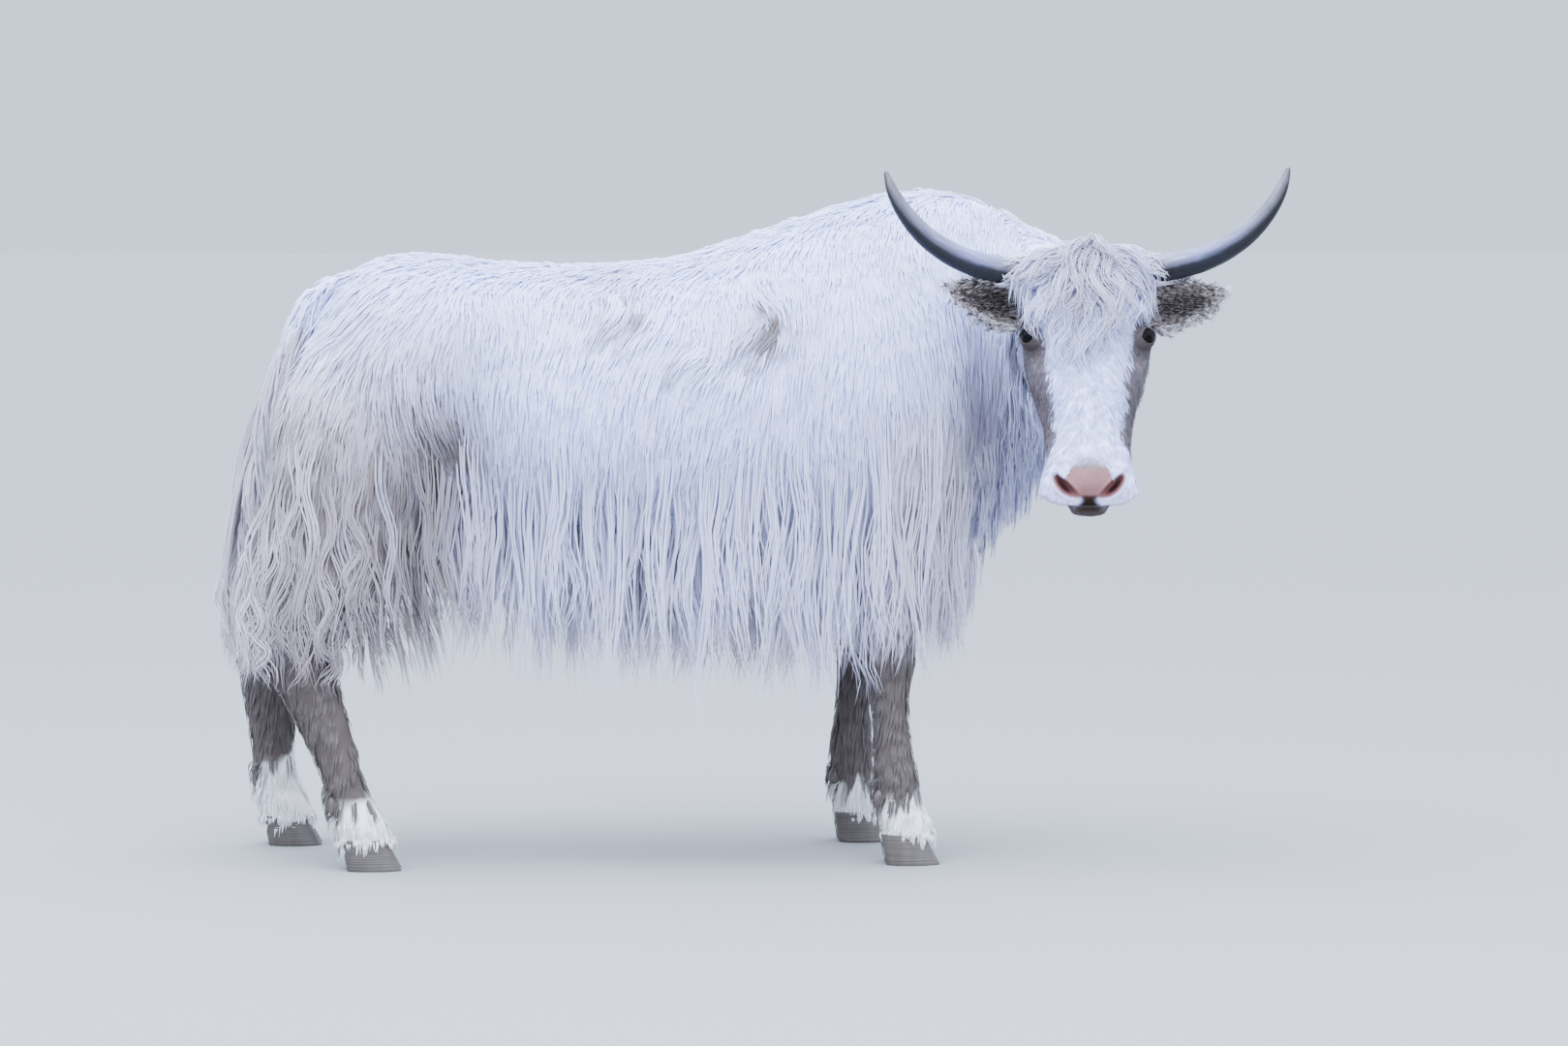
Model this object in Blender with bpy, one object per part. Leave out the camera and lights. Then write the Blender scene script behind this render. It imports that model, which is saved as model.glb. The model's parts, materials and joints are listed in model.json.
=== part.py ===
"""A white domestic yak cow at life size, standing with its head turned to its right side.

Metres, +Z up. The body faces +X and its left side is +Y. The origin is on the floor, under the
middle of the whole animal's box. The surfaces are those of the coat, and the long hair of the
skirt, thighs, tail, throat and forelock is made of flat, tapered locks fused to what they grow from.
"""

import math

import bmesh
import bpy
import numpy as np
from mathutils import Matrix

# ---------------------------------------------------------------- driving sizes
HUMP_HEIGHT = 1.236        # floor to the top of the hump, coat included
BACK_HEIGHT = 1.104        # floor to the loin
HEAD_ORIGIN = np.array((0.577, -0.345, 1.085))   # middle of the poll, between the horns
HEAD_YAW = math.radians(-95)                     # heading of the muzzle: turned to the right
HEAD_TILT = math.radians(25)                     # how far the face leans forward from upright
HEAD_LENGTH = 0.462        # poll to the end of the lips
SKIRT_CLEARANCE = 0.27     # floor to the tips of the belly hair
SKIRT_CORE = 0.42          # floor to the lower edge of its dense part
TAIL_CLEARANCE = 0.29      # floor to the tips of the tail hair
HOOF_HEIGHT = 0.050
GAP = 0.0003               # between touching nodes
GROW = 0.00045             # growth of the copy that clears a body out of its neighbour
GROW_HAIR = 0.0008         # the same for a lock
SKIRT_FIRST, SKIRT_LAST = -0.53, 0.40             # stations of the trunk between which the skirt hangs
MIDDLE = np.array((0.018, 0.106, 0.0))            # brings the box's middle over the origin

# ---------------------------------------------------------------- finishes
WHITE = ("white_coat", (0.78, 0.77, 0.80), 0.8)
CREAM = ("cream_hair", (0.70, 0.66, 0.60), 0.8)
GREY_BROWN = ("leg_coat", (0.33, 0.29, 0.27), 0.8)
EAR_BROWN = ("ear_coat", (0.22, 0.18, 0.16), 0.8)
PINK = ("bare_skin", (0.62, 0.42, 0.38), 0.5)
HORN = ("horn", (0.20, 0.20, 0.23), 0.35)
HOOF = ("hoof", (0.13, 0.11, 0.10), 0.5)
EYE = ("eye", (0.02, 0.015, 0.012), 0.08)


def material(finish):
    """The Principled material of a finish, made once."""
    name, colour, roughness = finish
    made = bpy.data.materials.get(name)
    if made is None:
        made = bpy.data.materials.new(name)
        made.use_nodes = True
        shader = made.node_tree.nodes["Principled BSDF"]
        shader.inputs["Base Color"].default_value = (*colour, 1)
        shader.inputs["Roughness"].default_value = roughness
    return made


# ---------------------------------------------------------------- curves and bodies
def through(table, at):
    """Cubic Hermite values at the stations asked for, through the rows of table.

    Column 0 of table holds the stations. Slopes come from the neighbouring rows."""
    table = np.array(table, float)
    stations = table[:, 0]
    values = table[:, 1:]
    slopes = np.gradient(values, stations, axis=0)
    at = np.clip(np.asarray(at, float), stations[0], stations[-1])
    span = np.clip(np.searchsorted(stations, at, side="right") - 1, 0, len(stations) - 2)
    step = (stations[span + 1] - stations[span])[..., None]
    t = (at - stations[span])[..., None] / step
    return (
        values[span] * (2 * t**3 - 3 * t**2 + 1)
        + values[span + 1] * (3 * t**2 - 2 * t**3)
        + slopes[span] * step * (t**3 - 2 * t**2 + t)
        + slopes[span + 1] * step * (t**3 - t**2)
    )


def rounded(angle, power):
    """(cosine, sine) of an angle bent to a superellipse: a power over 2 is boxy, under 2 is peaked."""
    c, s = np.cos(angle), np.sin(angle)
    return np.sign(c) * np.abs(c) ** (2 / power), np.sign(s) * np.abs(s) ** (2 / power)


def new_object(name, points, faces, finish=WHITE):
    """A mesh object whose faces point outwards."""
    mesh = bpy.data.meshes.new(name)
    mesh.from_pydata([tuple(p) for p in points], [], faces)
    shell = bmesh.new()
    shell.from_mesh(mesh)
    bmesh.ops.recalc_face_normals(shell, faces=shell.faces)
    shell.to_mesh(mesh)
    shell.free()
    mesh.materials.append(material(finish))
    made = bpy.data.objects.new(name, mesh)
    bpy.context.scene.collection.objects.link(made)
    return made


def lofted(name, rings, finish=WHITE, pointed=False):
    """A closed body through rings of points, (ring, point, xyz), with a fan on each end.

    With pointed, the last ring's middle is the tip and the ring itself is left out."""
    rings = np.asarray(rings, float)
    tip = rings[-1].mean(axis=0)
    if pointed:
        rings = rings[:-1]
    count, sides = rings.shape[:2]
    points = [*rings.reshape(-1, 3), rings[0].mean(axis=0), tip]
    faces = []
    for ring in range(count - 1):
        for side in range(sides):
            a = ring * sides + side
            b = ring * sides + (side + 1) % sides
            faces.append((a, b, b + sides))
            faces.append((a, b + sides, a + sides))
    for side in range(sides):
        after = (side + 1) % sides
        faces.append((count * sides, after, side))
        faces.append((count * sides + 1, (count - 1) * sides + side, (count - 1) * sides + after))
    return new_object(name, points, faces, finish)


def ball(name, middle, axes, rings=8, sides=12, finish=WHITE):
    """A closed ellipsoid; axes holds its three half-axes as rows."""
    middle, axes = np.asarray(middle, float), np.asarray(axes, float)
    around = np.linspace(0, 2 * math.pi, sides, endpoint=False)
    made = []
    for down in np.linspace(0, math.pi, rings + 1)[1:-1]:
        flat = np.stack([np.cos(around), np.sin(around)], axis=1) * math.sin(down)
        made.append(middle + flat @ axes[:2] + math.cos(down) * axes[2])
    shape = np.array(made)
    count = len(shape)
    points = [*shape.reshape(-1, 3), middle + axes[2], middle - axes[2]]
    faces = []
    for side in range(sides):
        after = (side + 1) % sides
        faces.append((count * sides, after, side))
        faces.append((count * sides + 1, (count - 1) * sides + side, (count - 1) * sides + after))
        for ring in range(count - 1):
            a, b = ring * sides + side, ring * sides + after
            faces.append((a, b, b + sides))
            faces.append((a, b + sides, a + sides))
    return new_object(name, points, faces, finish)


def combine(target, operation, others):
    """Applies one Boolean of the closed mesh objects in others, and removes them."""
    group = bpy.data.collections.new("operands")
    bpy.context.scene.collection.children.link(group)
    for other in others:
        bpy.context.scene.collection.objects.unlink(other)
        group.objects.link(other)
    cut = target.modifiers.new("join", "BOOLEAN")
    cut.operation = operation
    cut.operand_type = "COLLECTION"
    cut.collection = group
    cut.solver = "EXACT"
    graph = bpy.context.evaluated_depsgraph_get()
    result = bpy.data.meshes.new_from_object(target.evaluated_get(graph))
    target.modifiers.clear()
    target.data = result
    for other in others:
        bpy.data.objects.remove(other)
    bpy.data.collections.remove(group)
    keep_largest(target)
    return target


def keep_largest(target):
    """Leaves only the closed surface of the greatest volume, as triangles."""
    shell = bmesh.new()
    shell.from_mesh(target.data)
    bmesh.ops.triangulate(shell, faces=shell.faces)
    left = set(shell.faces)
    pieces = []
    while left:
        stack = [left.pop()]
        piece = list(stack)
        while stack:
            for edge in stack.pop().edges:
                for face in edge.link_faces:
                    if face in left:
                        left.remove(face)
                        stack.append(face)
                        piece.append(face)
        pieces.append(piece)

    def volume(piece):
        return sum(f.verts[0].co.dot(f.verts[1].co.cross(f.verts[2].co)) for f in piece) / 6

    pieces.sort(key=volume)
    loose = [face for piece in pieces[:-1] for face in piece]
    bmesh.ops.delete(shell, geom=loose, context="FACES")
    shell.to_mesh(target.data)
    shell.free()


def grown(target, by=GROW):
    """A copy of a smooth body, larger by that much along its normals, to cut its neighbour with."""
    copy = target.copy()
    copy.data = target.data.copy()
    bpy.context.scene.collection.objects.link(copy)
    normals = np.array([tuple(v.normal) for v in copy.data.vertices])
    places = np.array([tuple(v.co) for v in copy.data.vertices])
    copy.data.vertices.foreach_set("co", (places + normals * by).ravel())
    copy.data.update()
    return copy


# ---------------------------------------------------------------- locks of hair
def unit(v):
    """Vectors scaled to length 1."""
    v = np.asarray(v, float)
    return v / np.maximum(np.linalg.norm(v, axis=-1, keepdims=True), 1e-9)


def lock(root, out, along, length, width, thick, sink=0.03, lift=0.02, drop=0.0, sway=0.0,
         phase=0.0, spans=4, grow=0.0):
    """A flat, tapered lock that leaves the surface at root, bends over and lies along it.

    out is the surface's outward normal and along the way the hair lies. The root is sink deep, the
    middle stands lift off the surface, the tip falls by drop back inwards, and sway bends it sideways
    in one wave that starts at phase. Its section is a triangle: two edges, and a ridge that faces
    out. With grow it comes out larger by that much, to cut its neighbour with."""
    out, along = unit(out), unit(along)
    side = unit(np.cross(along, out))
    t = np.linspace(0, 1, spans + 1)
    rise = -sink + (sink + lift) * np.sin(np.clip(t / 0.45, 0, 1) * math.pi / 2) - drop * t**2
    swing = sway * np.sin(2 * math.pi * t + phase) * t
    line = (
        np.asarray(root, float)
        + np.outer(rise, out)
        + np.outer(t * length, along)
        + np.outer(swing, side)
    )
    line[-1] += along * 4 * grow
    half = (width / 2) * through(((0, 0.72), (0.35, 1.0), (0.7, 0.72), (1, 0.0)), t)[:, 0] + 5 * grow
    ridge = thick * (1 - 0.75 * t) + 2 * grow
    rings = np.stack(
        [
            line - side * half[:, None] - out * grow,
            line + out * ridge[:, None],
            line + side * half[:, None] - out * grow,
        ],
        axis=1,
    )
    return lofted("lock", rings, pointed=True)


DOWN = np.array((0.0, 0.0, -1.0))


# ---------------------------------------------------------------- trunk and neck
# station, x, y, heading in degrees, top, bottom, half width, peakedness of the top
TRUNK = (
    (-0.850, -0.850, 0.000, 0, 0.920, 0.740, 0.060, 2.0),
    (-0.832, -0.832, 0.000, 0, 0.985, 0.690, 0.125, 2.0),
    (-0.795, -0.795, 0.000, 0, 1.048, 0.645, 0.190, 2.1),
    (-0.730, -0.730, 0.000, 0, 1.098, 0.610, 0.238, 2.1),
    (-0.600, -0.600, 0.000, 0, 1.124, 0.595, 0.266, 2.0),
    (-0.460, -0.460, 0.000, 0, 1.108, 0.580, 0.272, 1.9),
    (-0.320, -0.320, 0.000, 0, BACK_HEIGHT, 0.545, 0.300, 2.0),
    (-0.150, -0.150, 0.000, 0, 1.115, 0.515, 0.325, 2.0),
    (0.010, 0.010, 0.000, 0, 1.163, 0.505, 0.325, 1.9),
    (0.150, 0.150, 0.000, 0, 1.208, 0.500, 0.300, 1.75),
    (0.270, 0.270, 0.000, 0, HUMP_HEIGHT, 0.505, 0.275, 1.65),
    (0.360, 0.360, 0.000, -2, HUMP_HEIGHT, 0.530, 0.245, 1.65),
    (0.430, 0.425, -0.005, -12, 1.218, 0.580, 0.210, 1.7),
    (0.490, 0.474, -0.025, -25, 1.192, 0.650, 0.182, 1.8),
    (0.550, 0.516, -0.068, -42, 1.163, 0.715, 0.158, 1.9),
    (0.620, 0.548, -0.128, -62, 1.137, 0.765, 0.136, 1.9),
    (0.690, 0.564, -0.195, -78, 1.124, 0.800, 0.120, 1.9),
    (0.760, 0.571, -0.265, -88, 1.118, 0.825, 0.108, 1.9),
    (0.830, 0.575, -0.335, -92, 1.095, 0.850, 0.095, 1.9),
)
NECK_BASE = 0.465          # station where the neck begins
NECK_END = 0.80            # its last station, which the head covers
TRUNK_SIDES = 24
WIDEST = 0.46              # height of the widest place, as a share of the section


def trunk_at(station, angle):
    """Points on the trunk's coat. angle runs round each upright section: 0 left, 90 degrees up."""
    x, y, heading, top, bottom, half, peak = np.moveaxis(through(TRUNK, station), -1, 0)
    heading = np.radians(heading)
    upper = np.sin(angle) >= 0
    across, up = rounded(angle, np.where(upper, peak, 2.3))
    middle = bottom + WIDEST * (top - bottom)
    height = middle + np.where(upper, top - middle, middle - bottom) * up
    return np.stack(
        [x - np.sin(heading) * half * across, y + np.cos(heading) * half * across, height], axis=-1
    )


def normal_at(surface, station, angle, step=1e-3):
    """The outward normal of a surface of two parameters, from its two slopes."""
    along = surface(station + step, angle) - surface(station - step, angle)
    around = surface(station, angle + step) - surface(station, angle - step)
    return unit(np.cross(around, along))


def sections(surface, stations, sides):
    """Rings of a surface of two parameters, one for each station."""
    angles = np.linspace(0, 2 * math.pi, sides, endpoint=False)
    grid = np.meshgrid(np.asarray(stations, float), angles, indexing="ij")
    return surface(*grid)


def skirt_core(flank):
    """The dense upper part of one side's belly hair, which hangs from the flank."""
    rings = []
    for station in np.linspace(SKIRT_FIRST, SKIRT_LAST, 10):
        high, middle, low = (
            trunk_at(station, math.radians(turn if flank > 0 else 180 - turn)) for turn in (-12, -32, -58)
        )
        out = np.array((0, flank, 0.0))
        middle_station, reach = (SKIRT_FIRST + SKIRT_LAST) / 2, (SKIRT_LAST - SKIRT_FIRST) / 2
        short = 0.05 * abs((station - middle_station) / reach) ** 6
        foot = np.array((middle[0], middle[1], SKIRT_CORE + short))
        rings.append([
            high + out * 0.008, middle + out * 0.014, foot + out * 0.010, foot - out * 0.020,
            low + np.array((0, 0, 0.05)), high - out * 0.05,
        ])
    return lofted(f"skirt_{'left' if flank > 0 else 'right'}", rings, CREAM)


def skirt_hair(flank):
    """Two tiers of locks along one side of the belly."""
    made = []
    dice = np.random.default_rng(11 + flank)
    for tier, (count, start, end, angle, floor) in enumerate((
        (8, SKIRT_FIRST + 0.03, SKIRT_LAST - 0.02, -15, SKIRT_CLEARANCE + 0.09),
        (9, SKIRT_FIRST, SKIRT_LAST, -36, SKIRT_CLEARANCE),
    )):
        for i in range(count):
            station = start + (end - start) * (i + 0.5 + 0.12 * flank) / count
            turn = math.radians(angle + dice.uniform(-3, 3))
            turn = turn if flank > 0 else math.pi - turn
            root = trunk_at(station, turn)
            out = normal_at(trunk_at, station, turn)
            out[2] *= 0.25
            length = root[2] - floor + dice.uniform(-0.035, 0.035)
            made.append(lock(
                root, out, DOWN + np.array((dice.uniform(-0.10, -0.02), 0, 0)), length,
                width=0.116, thick=0.022, sink=0.030, lift=0.012 + 0.012 * (i % 2) + 0.010 * (1 - tier),
                drop=0.035, sway=0.014, phase=dice.uniform(0, 6), spans=3 + tier))
    return made


def brisket(grow=0.0):
    """The hair that hangs from the chest, between and in front of the forelegs."""
    made = []
    dice = np.random.default_rng(12)
    for i in range(5):
        turn = math.radians(-90 + 30 * (i - 2))
        station = 0.415 - 0.015 * abs(i - 2)
        root = trunk_at(station, turn)
        out = unit(normal_at(trunk_at, station, turn) + np.array((0.8, 0, 0)))
        out[2] *= 0.3
        made.append(lock(
            root, out, DOWN + np.array((-0.25, 0, 0)), root[2] - 0.36 + dice.uniform(-0.03, 0.03),
            width=0.105, thick=0.022, sink=0.04, lift=0.010 + 0.010 * (i % 2), drop=0.03,
            sway=0.012, phase=dice.uniform(0, 6), grow=grow))
    return made


def torso_core(name):
    """The trunk from the buttocks to where the neck begins, without hanging hair."""
    stations = np.concatenate([
        [-0.850, -0.838, -0.815, -0.78], np.linspace(-0.72, NECK_BASE - GAP / 2, 12)
    ])
    return lofted(name, sections(trunk_at, stations, TRUNK_SIDES), WHITE)


def make_torso():
    """The trunk with the hair of its chest."""
    return combine(torso_core("torso"), "UNION", brisket())


def throat():
    """The hair along the underside of the neck."""
    made = []
    dice = np.random.default_rng(13)
    for row, side in ((0, -1), (0, 1), (1, 0)):
        for i in range(3 - row):
            station = 0.56 + 0.075 * i + 0.035 * row
            turn = math.radians(-90 + side * (36 + 3 * i))
            root = trunk_at(station, turn)
            out = normal_at(trunk_at, station, turn)
            out[2] *= 0.4
            made.append(lock(
                root, out, DOWN + np.array((-0.20, 0.05, 0)), 0.115 + dice.uniform(-0.015, 0.015),
                width=0.060, thick=0.012, sink=0.025, lift=0.003 + 0.004 * (i % 2), drop=0.02,
                sway=0.008, phase=dice.uniform(0, 6), spans=3))
    return made


def neck_core():
    """The rest of the trunk's surface, up to inside the head."""
    stations = np.linspace(NECK_BASE + GAP / 2, NECK_END, 8)
    return lofted("neck", sections(trunk_at, stations, TRUNK_SIDES), WHITE)


# ---------------------------------------------------------------- head
LONG = np.array((
    math.cos(HEAD_YAW) * math.sin(HEAD_TILT),
    math.sin(HEAD_YAW) * math.sin(HEAD_TILT),
    -math.cos(HEAD_TILT),
))                                               # poll to muzzle
FACE = np.array((
    math.cos(HEAD_YAW) * math.cos(HEAD_TILT),
    math.sin(HEAD_YAW) * math.cos(HEAD_TILT),
    math.sin(HEAD_TILT),
))                                               # out of the forehead
LEFT = np.array((-math.sin(HEAD_YAW), math.cos(HEAD_YAW), 0.0))   # the animal's own left

# distance from the poll, front of the face, back of the jaw, half width, squareness of the front
SKULL = (
    (-0.052, 0.004, -0.040, 0.040, 2.2),
    (-0.038, 0.026, -0.070, 0.078, 2.2),
    (-0.010, 0.046, -0.096, 0.104, 2.3),
    (0.025, 0.060, -0.116, 0.110, 2.3),
    (0.060, 0.068, -0.135, 0.112, 2.3),
    (0.100, 0.070, -0.150, 0.118, 2.3),
    (0.140, 0.067, -0.160, 0.120, 2.3),
    (0.180, 0.060, -0.162, 0.110, 2.4),
    (0.230, 0.052, -0.150, 0.098, 2.6),
    (0.280, 0.046, -0.125, 0.088, 2.6),
    (0.330, 0.044, -0.100, 0.080, 2.6),
    (0.370, 0.046, -0.086, 0.082, 2.6),
    (0.405, 0.049, -0.078, 0.088, 2.6),
    (0.430, 0.043, -0.064, 0.084, 2.5),
    (0.448, 0.030, -0.050, 0.064, 2.3),
    (HEAD_LENGTH, 0.006, -0.032, 0.040, 2.2),
)
HEAD_SIDES = 20
EYE_PLACE = (0.135, 0.022, 0.0965)   # along, out of the face, aside
EYE_RADIUS = 0.0205
NOSTRIL_PLACE = (0.424, 0.050, 0.045)


def in_head(along, out, aside):
    """A point of the head from its own three measures."""
    return (
        HEAD_ORIGIN
        + np.multiply.outer(along, LONG)
        + np.multiply.outer(out, FACE)
        + np.multiply.outer(aside, LEFT)
    )


def head_at(along, angle):
    """Points on the head's coat. angle runs round the section: 0 left, 90 degrees out of the face."""
    front, back, half, square = np.moveaxis(through(SKULL, along), -1, 0)
    facing = np.sin(angle) >= 0
    across, out = rounded(angle, np.where(facing, square, 2.0))
    widest = front - 0.40 * (front - back)
    depth = widest + np.where(facing, front - widest, widest - back) * out
    return in_head(along, depth, half * across)


def eye_frame(side):
    """(middle, wide, high, look) of an eye, which looks mostly aside and a little forward."""
    along, out, aside = EYE_PLACE
    look = unit(LEFT * side * 0.80 + FACE * 0.58 + LONG * 0.10)
    high = unit(np.cross(look, np.cross(-LONG, look)))
    return in_head(along, out, aside * side), np.cross(high, look), high, look


def make_eye(name, side):
    """The eyeball, of which the lids leave an almond bare."""
    middle = eye_frame(side)[0]
    return ball(name, middle, np.eye(3) * EYE_RADIUS, rings=6, sides=12, finish=EYE)


def lids(side):
    """The rim of flesh round an eye."""
    middle, wide, high, look = eye_frame(side)
    axes = [wide * 0.036, high * 0.0285, look * 0.0235]
    return ball("lid", middle + look * 0.001, axes, rings=6, sides=12)


def lid_opening(side):
    """The almond between the lids, deep enough to bare the eye."""
    middle, wide, high, look = eye_frame(side)
    axes = [wide * 0.023, high * 0.0130, look * 0.020]
    return ball("opening", middle + look * 0.024, axes, rings=6, sides=10)


def nostril(side):
    """A slanted, comma-like hollow beside the nose pad."""
    along, out, aside = NOSTRIL_PLACE
    middle = in_head(along, out, aside * side)
    slant = unit(LEFT * side * 0.55 - LONG * 0.83)
    depth = unit(FACE * 0.75 + LONG * 0.6)
    narrow = np.cross(slant, depth)
    return ball("nostril", middle, [slant * 0.021, narrow * 0.0075, depth * 0.030], rings=5, sides=8)


def mouth_line():
    """A thin wedge bent round the muzzle, which cuts the line between the lips."""
    rings = []
    for turn in np.linspace(math.radians(-62), math.radians(62), 9):
        reach = np.array((0.40 + 0.075 * math.cos(turn), 0.125 * math.sin(turn)))
        inner = np.array((0.40 + 0.052 * math.cos(turn), 0.062 * math.sin(turn)))
        depth = -0.034 + 0.020 * math.cos(turn)
        rings.append([
            in_head(inner[0], depth, inner[1]),
            in_head(reach[0], depth + 0.0035, reach[1]),
            in_head(reach[0], depth - 0.0035, reach[1]),
        ])
    return lofted("mouth", rings)


def forelock():
    """The wavy hair of the poll and forehead, parted in the middle and falling over the brow."""
    made = []
    dice = np.random.default_rng(14)
    rows = ((-0.034, 5, 0.150), (0.045, 4, 0.115))
    for along, count, length in rows:
        for i in range(count):
            aside = (i - (count - 1) / 2) / (count / 2)
            turn = math.radians(90 - 60 * aside)
            root = head_at(along, turn)
            out = normal_at(head_at, along + 0.02, turn)
            lie = LONG + LEFT * (0.30 * aside + dice.uniform(-0.08, 0.08))
            made.append(lock(
                root, out, lie - out * np.dot(lie, out), length * dice.uniform(0.92, 1.08),
                width=0.052, thick=0.012, sink=0.012, lift=0.008 + 0.005 * (i % 2), drop=0.006,
                sway=0.009, phase=dice.uniform(0, 6)))
    return made


def poll_tufts():
    """Hair that spreads from the poll sideways over the roots of the horns."""
    made = []
    dice = np.random.default_rng(15)
    for side in (1, -1):
        for i in range(2):
            root = in_head(-0.030 + 0.020 * i, 0.014 - 0.022 * i, 0.060 * side)
            out = unit(-LONG * 0.8 + LEFT * side * 0.35 + FACE * 0.25)
            made.append(lock(
                root, out, LEFT * side + LONG * (0.24 + 0.2 * i), 0.072 * dice.uniform(0.9, 1.1),
                width=0.050, thick=0.012, sink=0.012, lift=0.008, drop=0.006, sway=0.003,
                phase=dice.uniform(0, 6), spans=3))
    return made


def chin_hair():
    """The short beard behind the chin."""
    made = []
    for i in range(3):
        aside = 0.030 * (i - 1)
        root = in_head(0.400, -0.068, aside)
        made.append(lock(root, -FACE * 0.6 + LONG * 0.4, DOWN + LEFT * 0.2 * (i - 1), 0.042,
                         width=0.036, thick=0.010, sink=0.012, lift=0.004, spans=3))
    return made


def make_head():
    """The head's coat with its lids, eye openings, nostrils and the line of the mouth."""
    stations = (-0.052, -0.046, -0.034, -0.01, 0.03, 0.07, 0.11, 0.15, 0.19, 0.24, 0.29, 0.34,
                0.38, 0.41, 0.432, 0.449, HEAD_LENGTH)
    head = lofted("head", sections(head_at, stations, HEAD_SIDES), WHITE)
    combine(head, "UNION", [lids(1), lids(-1)])
    combine(head, "DIFFERENCE", [
        lid_opening(1), lid_opening(-1), nostril(1), nostril(-1), mouth_line(),
    ])
    return head


# ---------------------------------------------------------------- ears and horns
# share of the length, half width, cup depth
EAR_LEAF = (
    (0.00, 0.022, 0.012), (0.15, 0.032, 0.020), (0.35, 0.039, 0.022), (0.60, 0.037, 0.017),
    (0.82, 0.028, 0.010), (0.94, 0.016, 0.004), (1.00, 0.005, 0.001),
)
EAR_LENGTH = 0.155
EAR_WALL = 0.006


def ear_frame(side):
    """(root, along, open) of an ear: it reaches aside and a little back, open to the front."""
    root = in_head(0.058, -0.045, 0.088 * side)
    along = unit(LEFT * side * 0.96 - FACE * 0.02 - LONG * (0.26 if side < 0 else 0.22))
    opening = unit(FACE * 0.93 + LONG * 0.30 + LEFT * side * 0.12)
    opening = unit(opening - along * np.dot(opening, along))
    return root, along, opening


def ear_at(side, share, across, wall):
    """A point of an ear's leaf. across runs from -1 to 1; wall is how far behind the cup it lies."""
    root, along, opening = ear_frame(side)
    high = np.cross(along, opening) * side
    half, cup = np.moveaxis(through(EAR_LEAF, share), -1, 0)
    bend = 1 - across**2
    place = (
        np.multiply.outer(share * EAR_LENGTH, along)
        + np.multiply.outer(half * across, high)
        - np.multiply.outer(cup * bend + wall, opening)
    )
    return root + place


def make_ear(name, side):
    """A cupped leaf, as thick as its wall."""
    shares = np.array((0, 0.18, 0.38, 0.58, 0.76, 0.90, 1.0))
    across = np.linspace(-1, 1, 5)
    front = ear_at(side, *np.meshgrid(shares, across, indexing="ij"), 0.0)
    back = ear_at(side, *np.meshgrid(shares, across, indexing="ij"), EAR_WALL)
    rings = np.concatenate([front, back[:, ::-1]], axis=1)
    return lofted(name, rings, EAR_BROWN)


def ear_fringe(side):
    """Locks along the lower edge of an ear."""
    made = []
    dice = np.random.default_rng(16)
    root, along, opening = ear_frame(side)
    high = np.cross(along, opening) * side
    low = high if high[2] < 0 else -high
    edge = 1.0 if high[2] < 0 else -1.0
    for i, share in enumerate((0.30, 0.48, 0.66, 0.84)):
        base = ear_at(side, share, edge * 0.80, EAR_WALL / 2)
        made.append(lock(base, opening, low + along * 0.45, 0.030 * dice.uniform(0.85, 1.15),
                         width=0.026, thick=0.004, sink=0.0, lift=0.002 * (i % 2), spans=3))
    return made


HORN_UNEVEN = 0.007        # how much higher the left horn is
HORN_START = (0.004, -0.012, 0.0)                 # along, out of the face, aside
# share of the length, aside, up, forward, radius
HORN_LINE = (
    (0.00, 0.085, 0.006, 0.000, 0.0245),
    (0.14, 0.145, 0.012, 0.010, 0.0245),
    (0.32, 0.212, 0.029, 0.028, 0.0225),
    (0.52, 0.275, 0.064, 0.042, 0.0195),
    (0.72, 0.322, 0.112, 0.044, 0.0155),
    (0.88, 0.348, 0.156, 0.034, 0.0105),
    (1.00, 0.360, 0.190, 0.020, 0.0040),
)


def horn_rings(side, count=13, sides=12):
    """Rings across the horn's own bend: out to the side, then up, with the tip turned in."""
    shares = np.linspace(0, 1, count)
    rows = through(HORN_LINE, shares)
    ahead = np.array((math.cos(HEAD_YAW), math.sin(HEAD_YAW), 0.0))
    start = in_head(*HORN_START) + np.array((0, 0, HORN_UNEVEN * (side > 0)))
    line = (
        start
        + np.outer(rows[:, 0], LEFT * side)
        + np.outer(rows[:, 1], (0, 0, 1))
        + np.outer(rows[:, 2], ahead)
    )
    heading = unit(np.gradient(line, axis=0))
    first = unit(np.cross(heading, ahead))
    second = np.cross(heading, first)
    angles = np.linspace(0, 2 * math.pi, sides, endpoint=False)
    across, round_it = np.cos(angles)[None, :, None], np.sin(angles)[None, :, None]
    circle = across * first[:, None] + round_it * second[:, None]
    return line[:, None] + circle * rows[:, 3][:, None, None]


# ---------------------------------------------------------------- legs
# height, place ahead of the foot, aside from the middle plane, half length, half width
HIND_LEG = (
    (0.050, -0.010, 0.190, 0.056, 0.048),
    (0.080, -0.018, 0.190, 0.055, 0.048),
    (0.115, -0.030, 0.190, 0.046, 0.041),
    (0.165, -0.042, 0.189, 0.042, 0.037),
    (0.235, -0.056, 0.188, 0.049, 0.038),
    (0.320, -0.074, 0.185, 0.060, 0.042),
    (0.390, -0.085, 0.182, 0.078, 0.050),
    (0.460, -0.065, 0.178, 0.105, 0.064),
    (0.540, -0.018, 0.168, 0.145, 0.084),
    (0.640, 0.030, 0.156, 0.165, 0.104),
    (0.740, 0.052, 0.146, 0.178, 0.118),
    (0.840, 0.060, 0.138, 0.170, 0.112),
    (0.920, 0.056, 0.126, 0.130, 0.088),
    (0.970, 0.050, 0.120, 0.080, 0.055),
)
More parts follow.
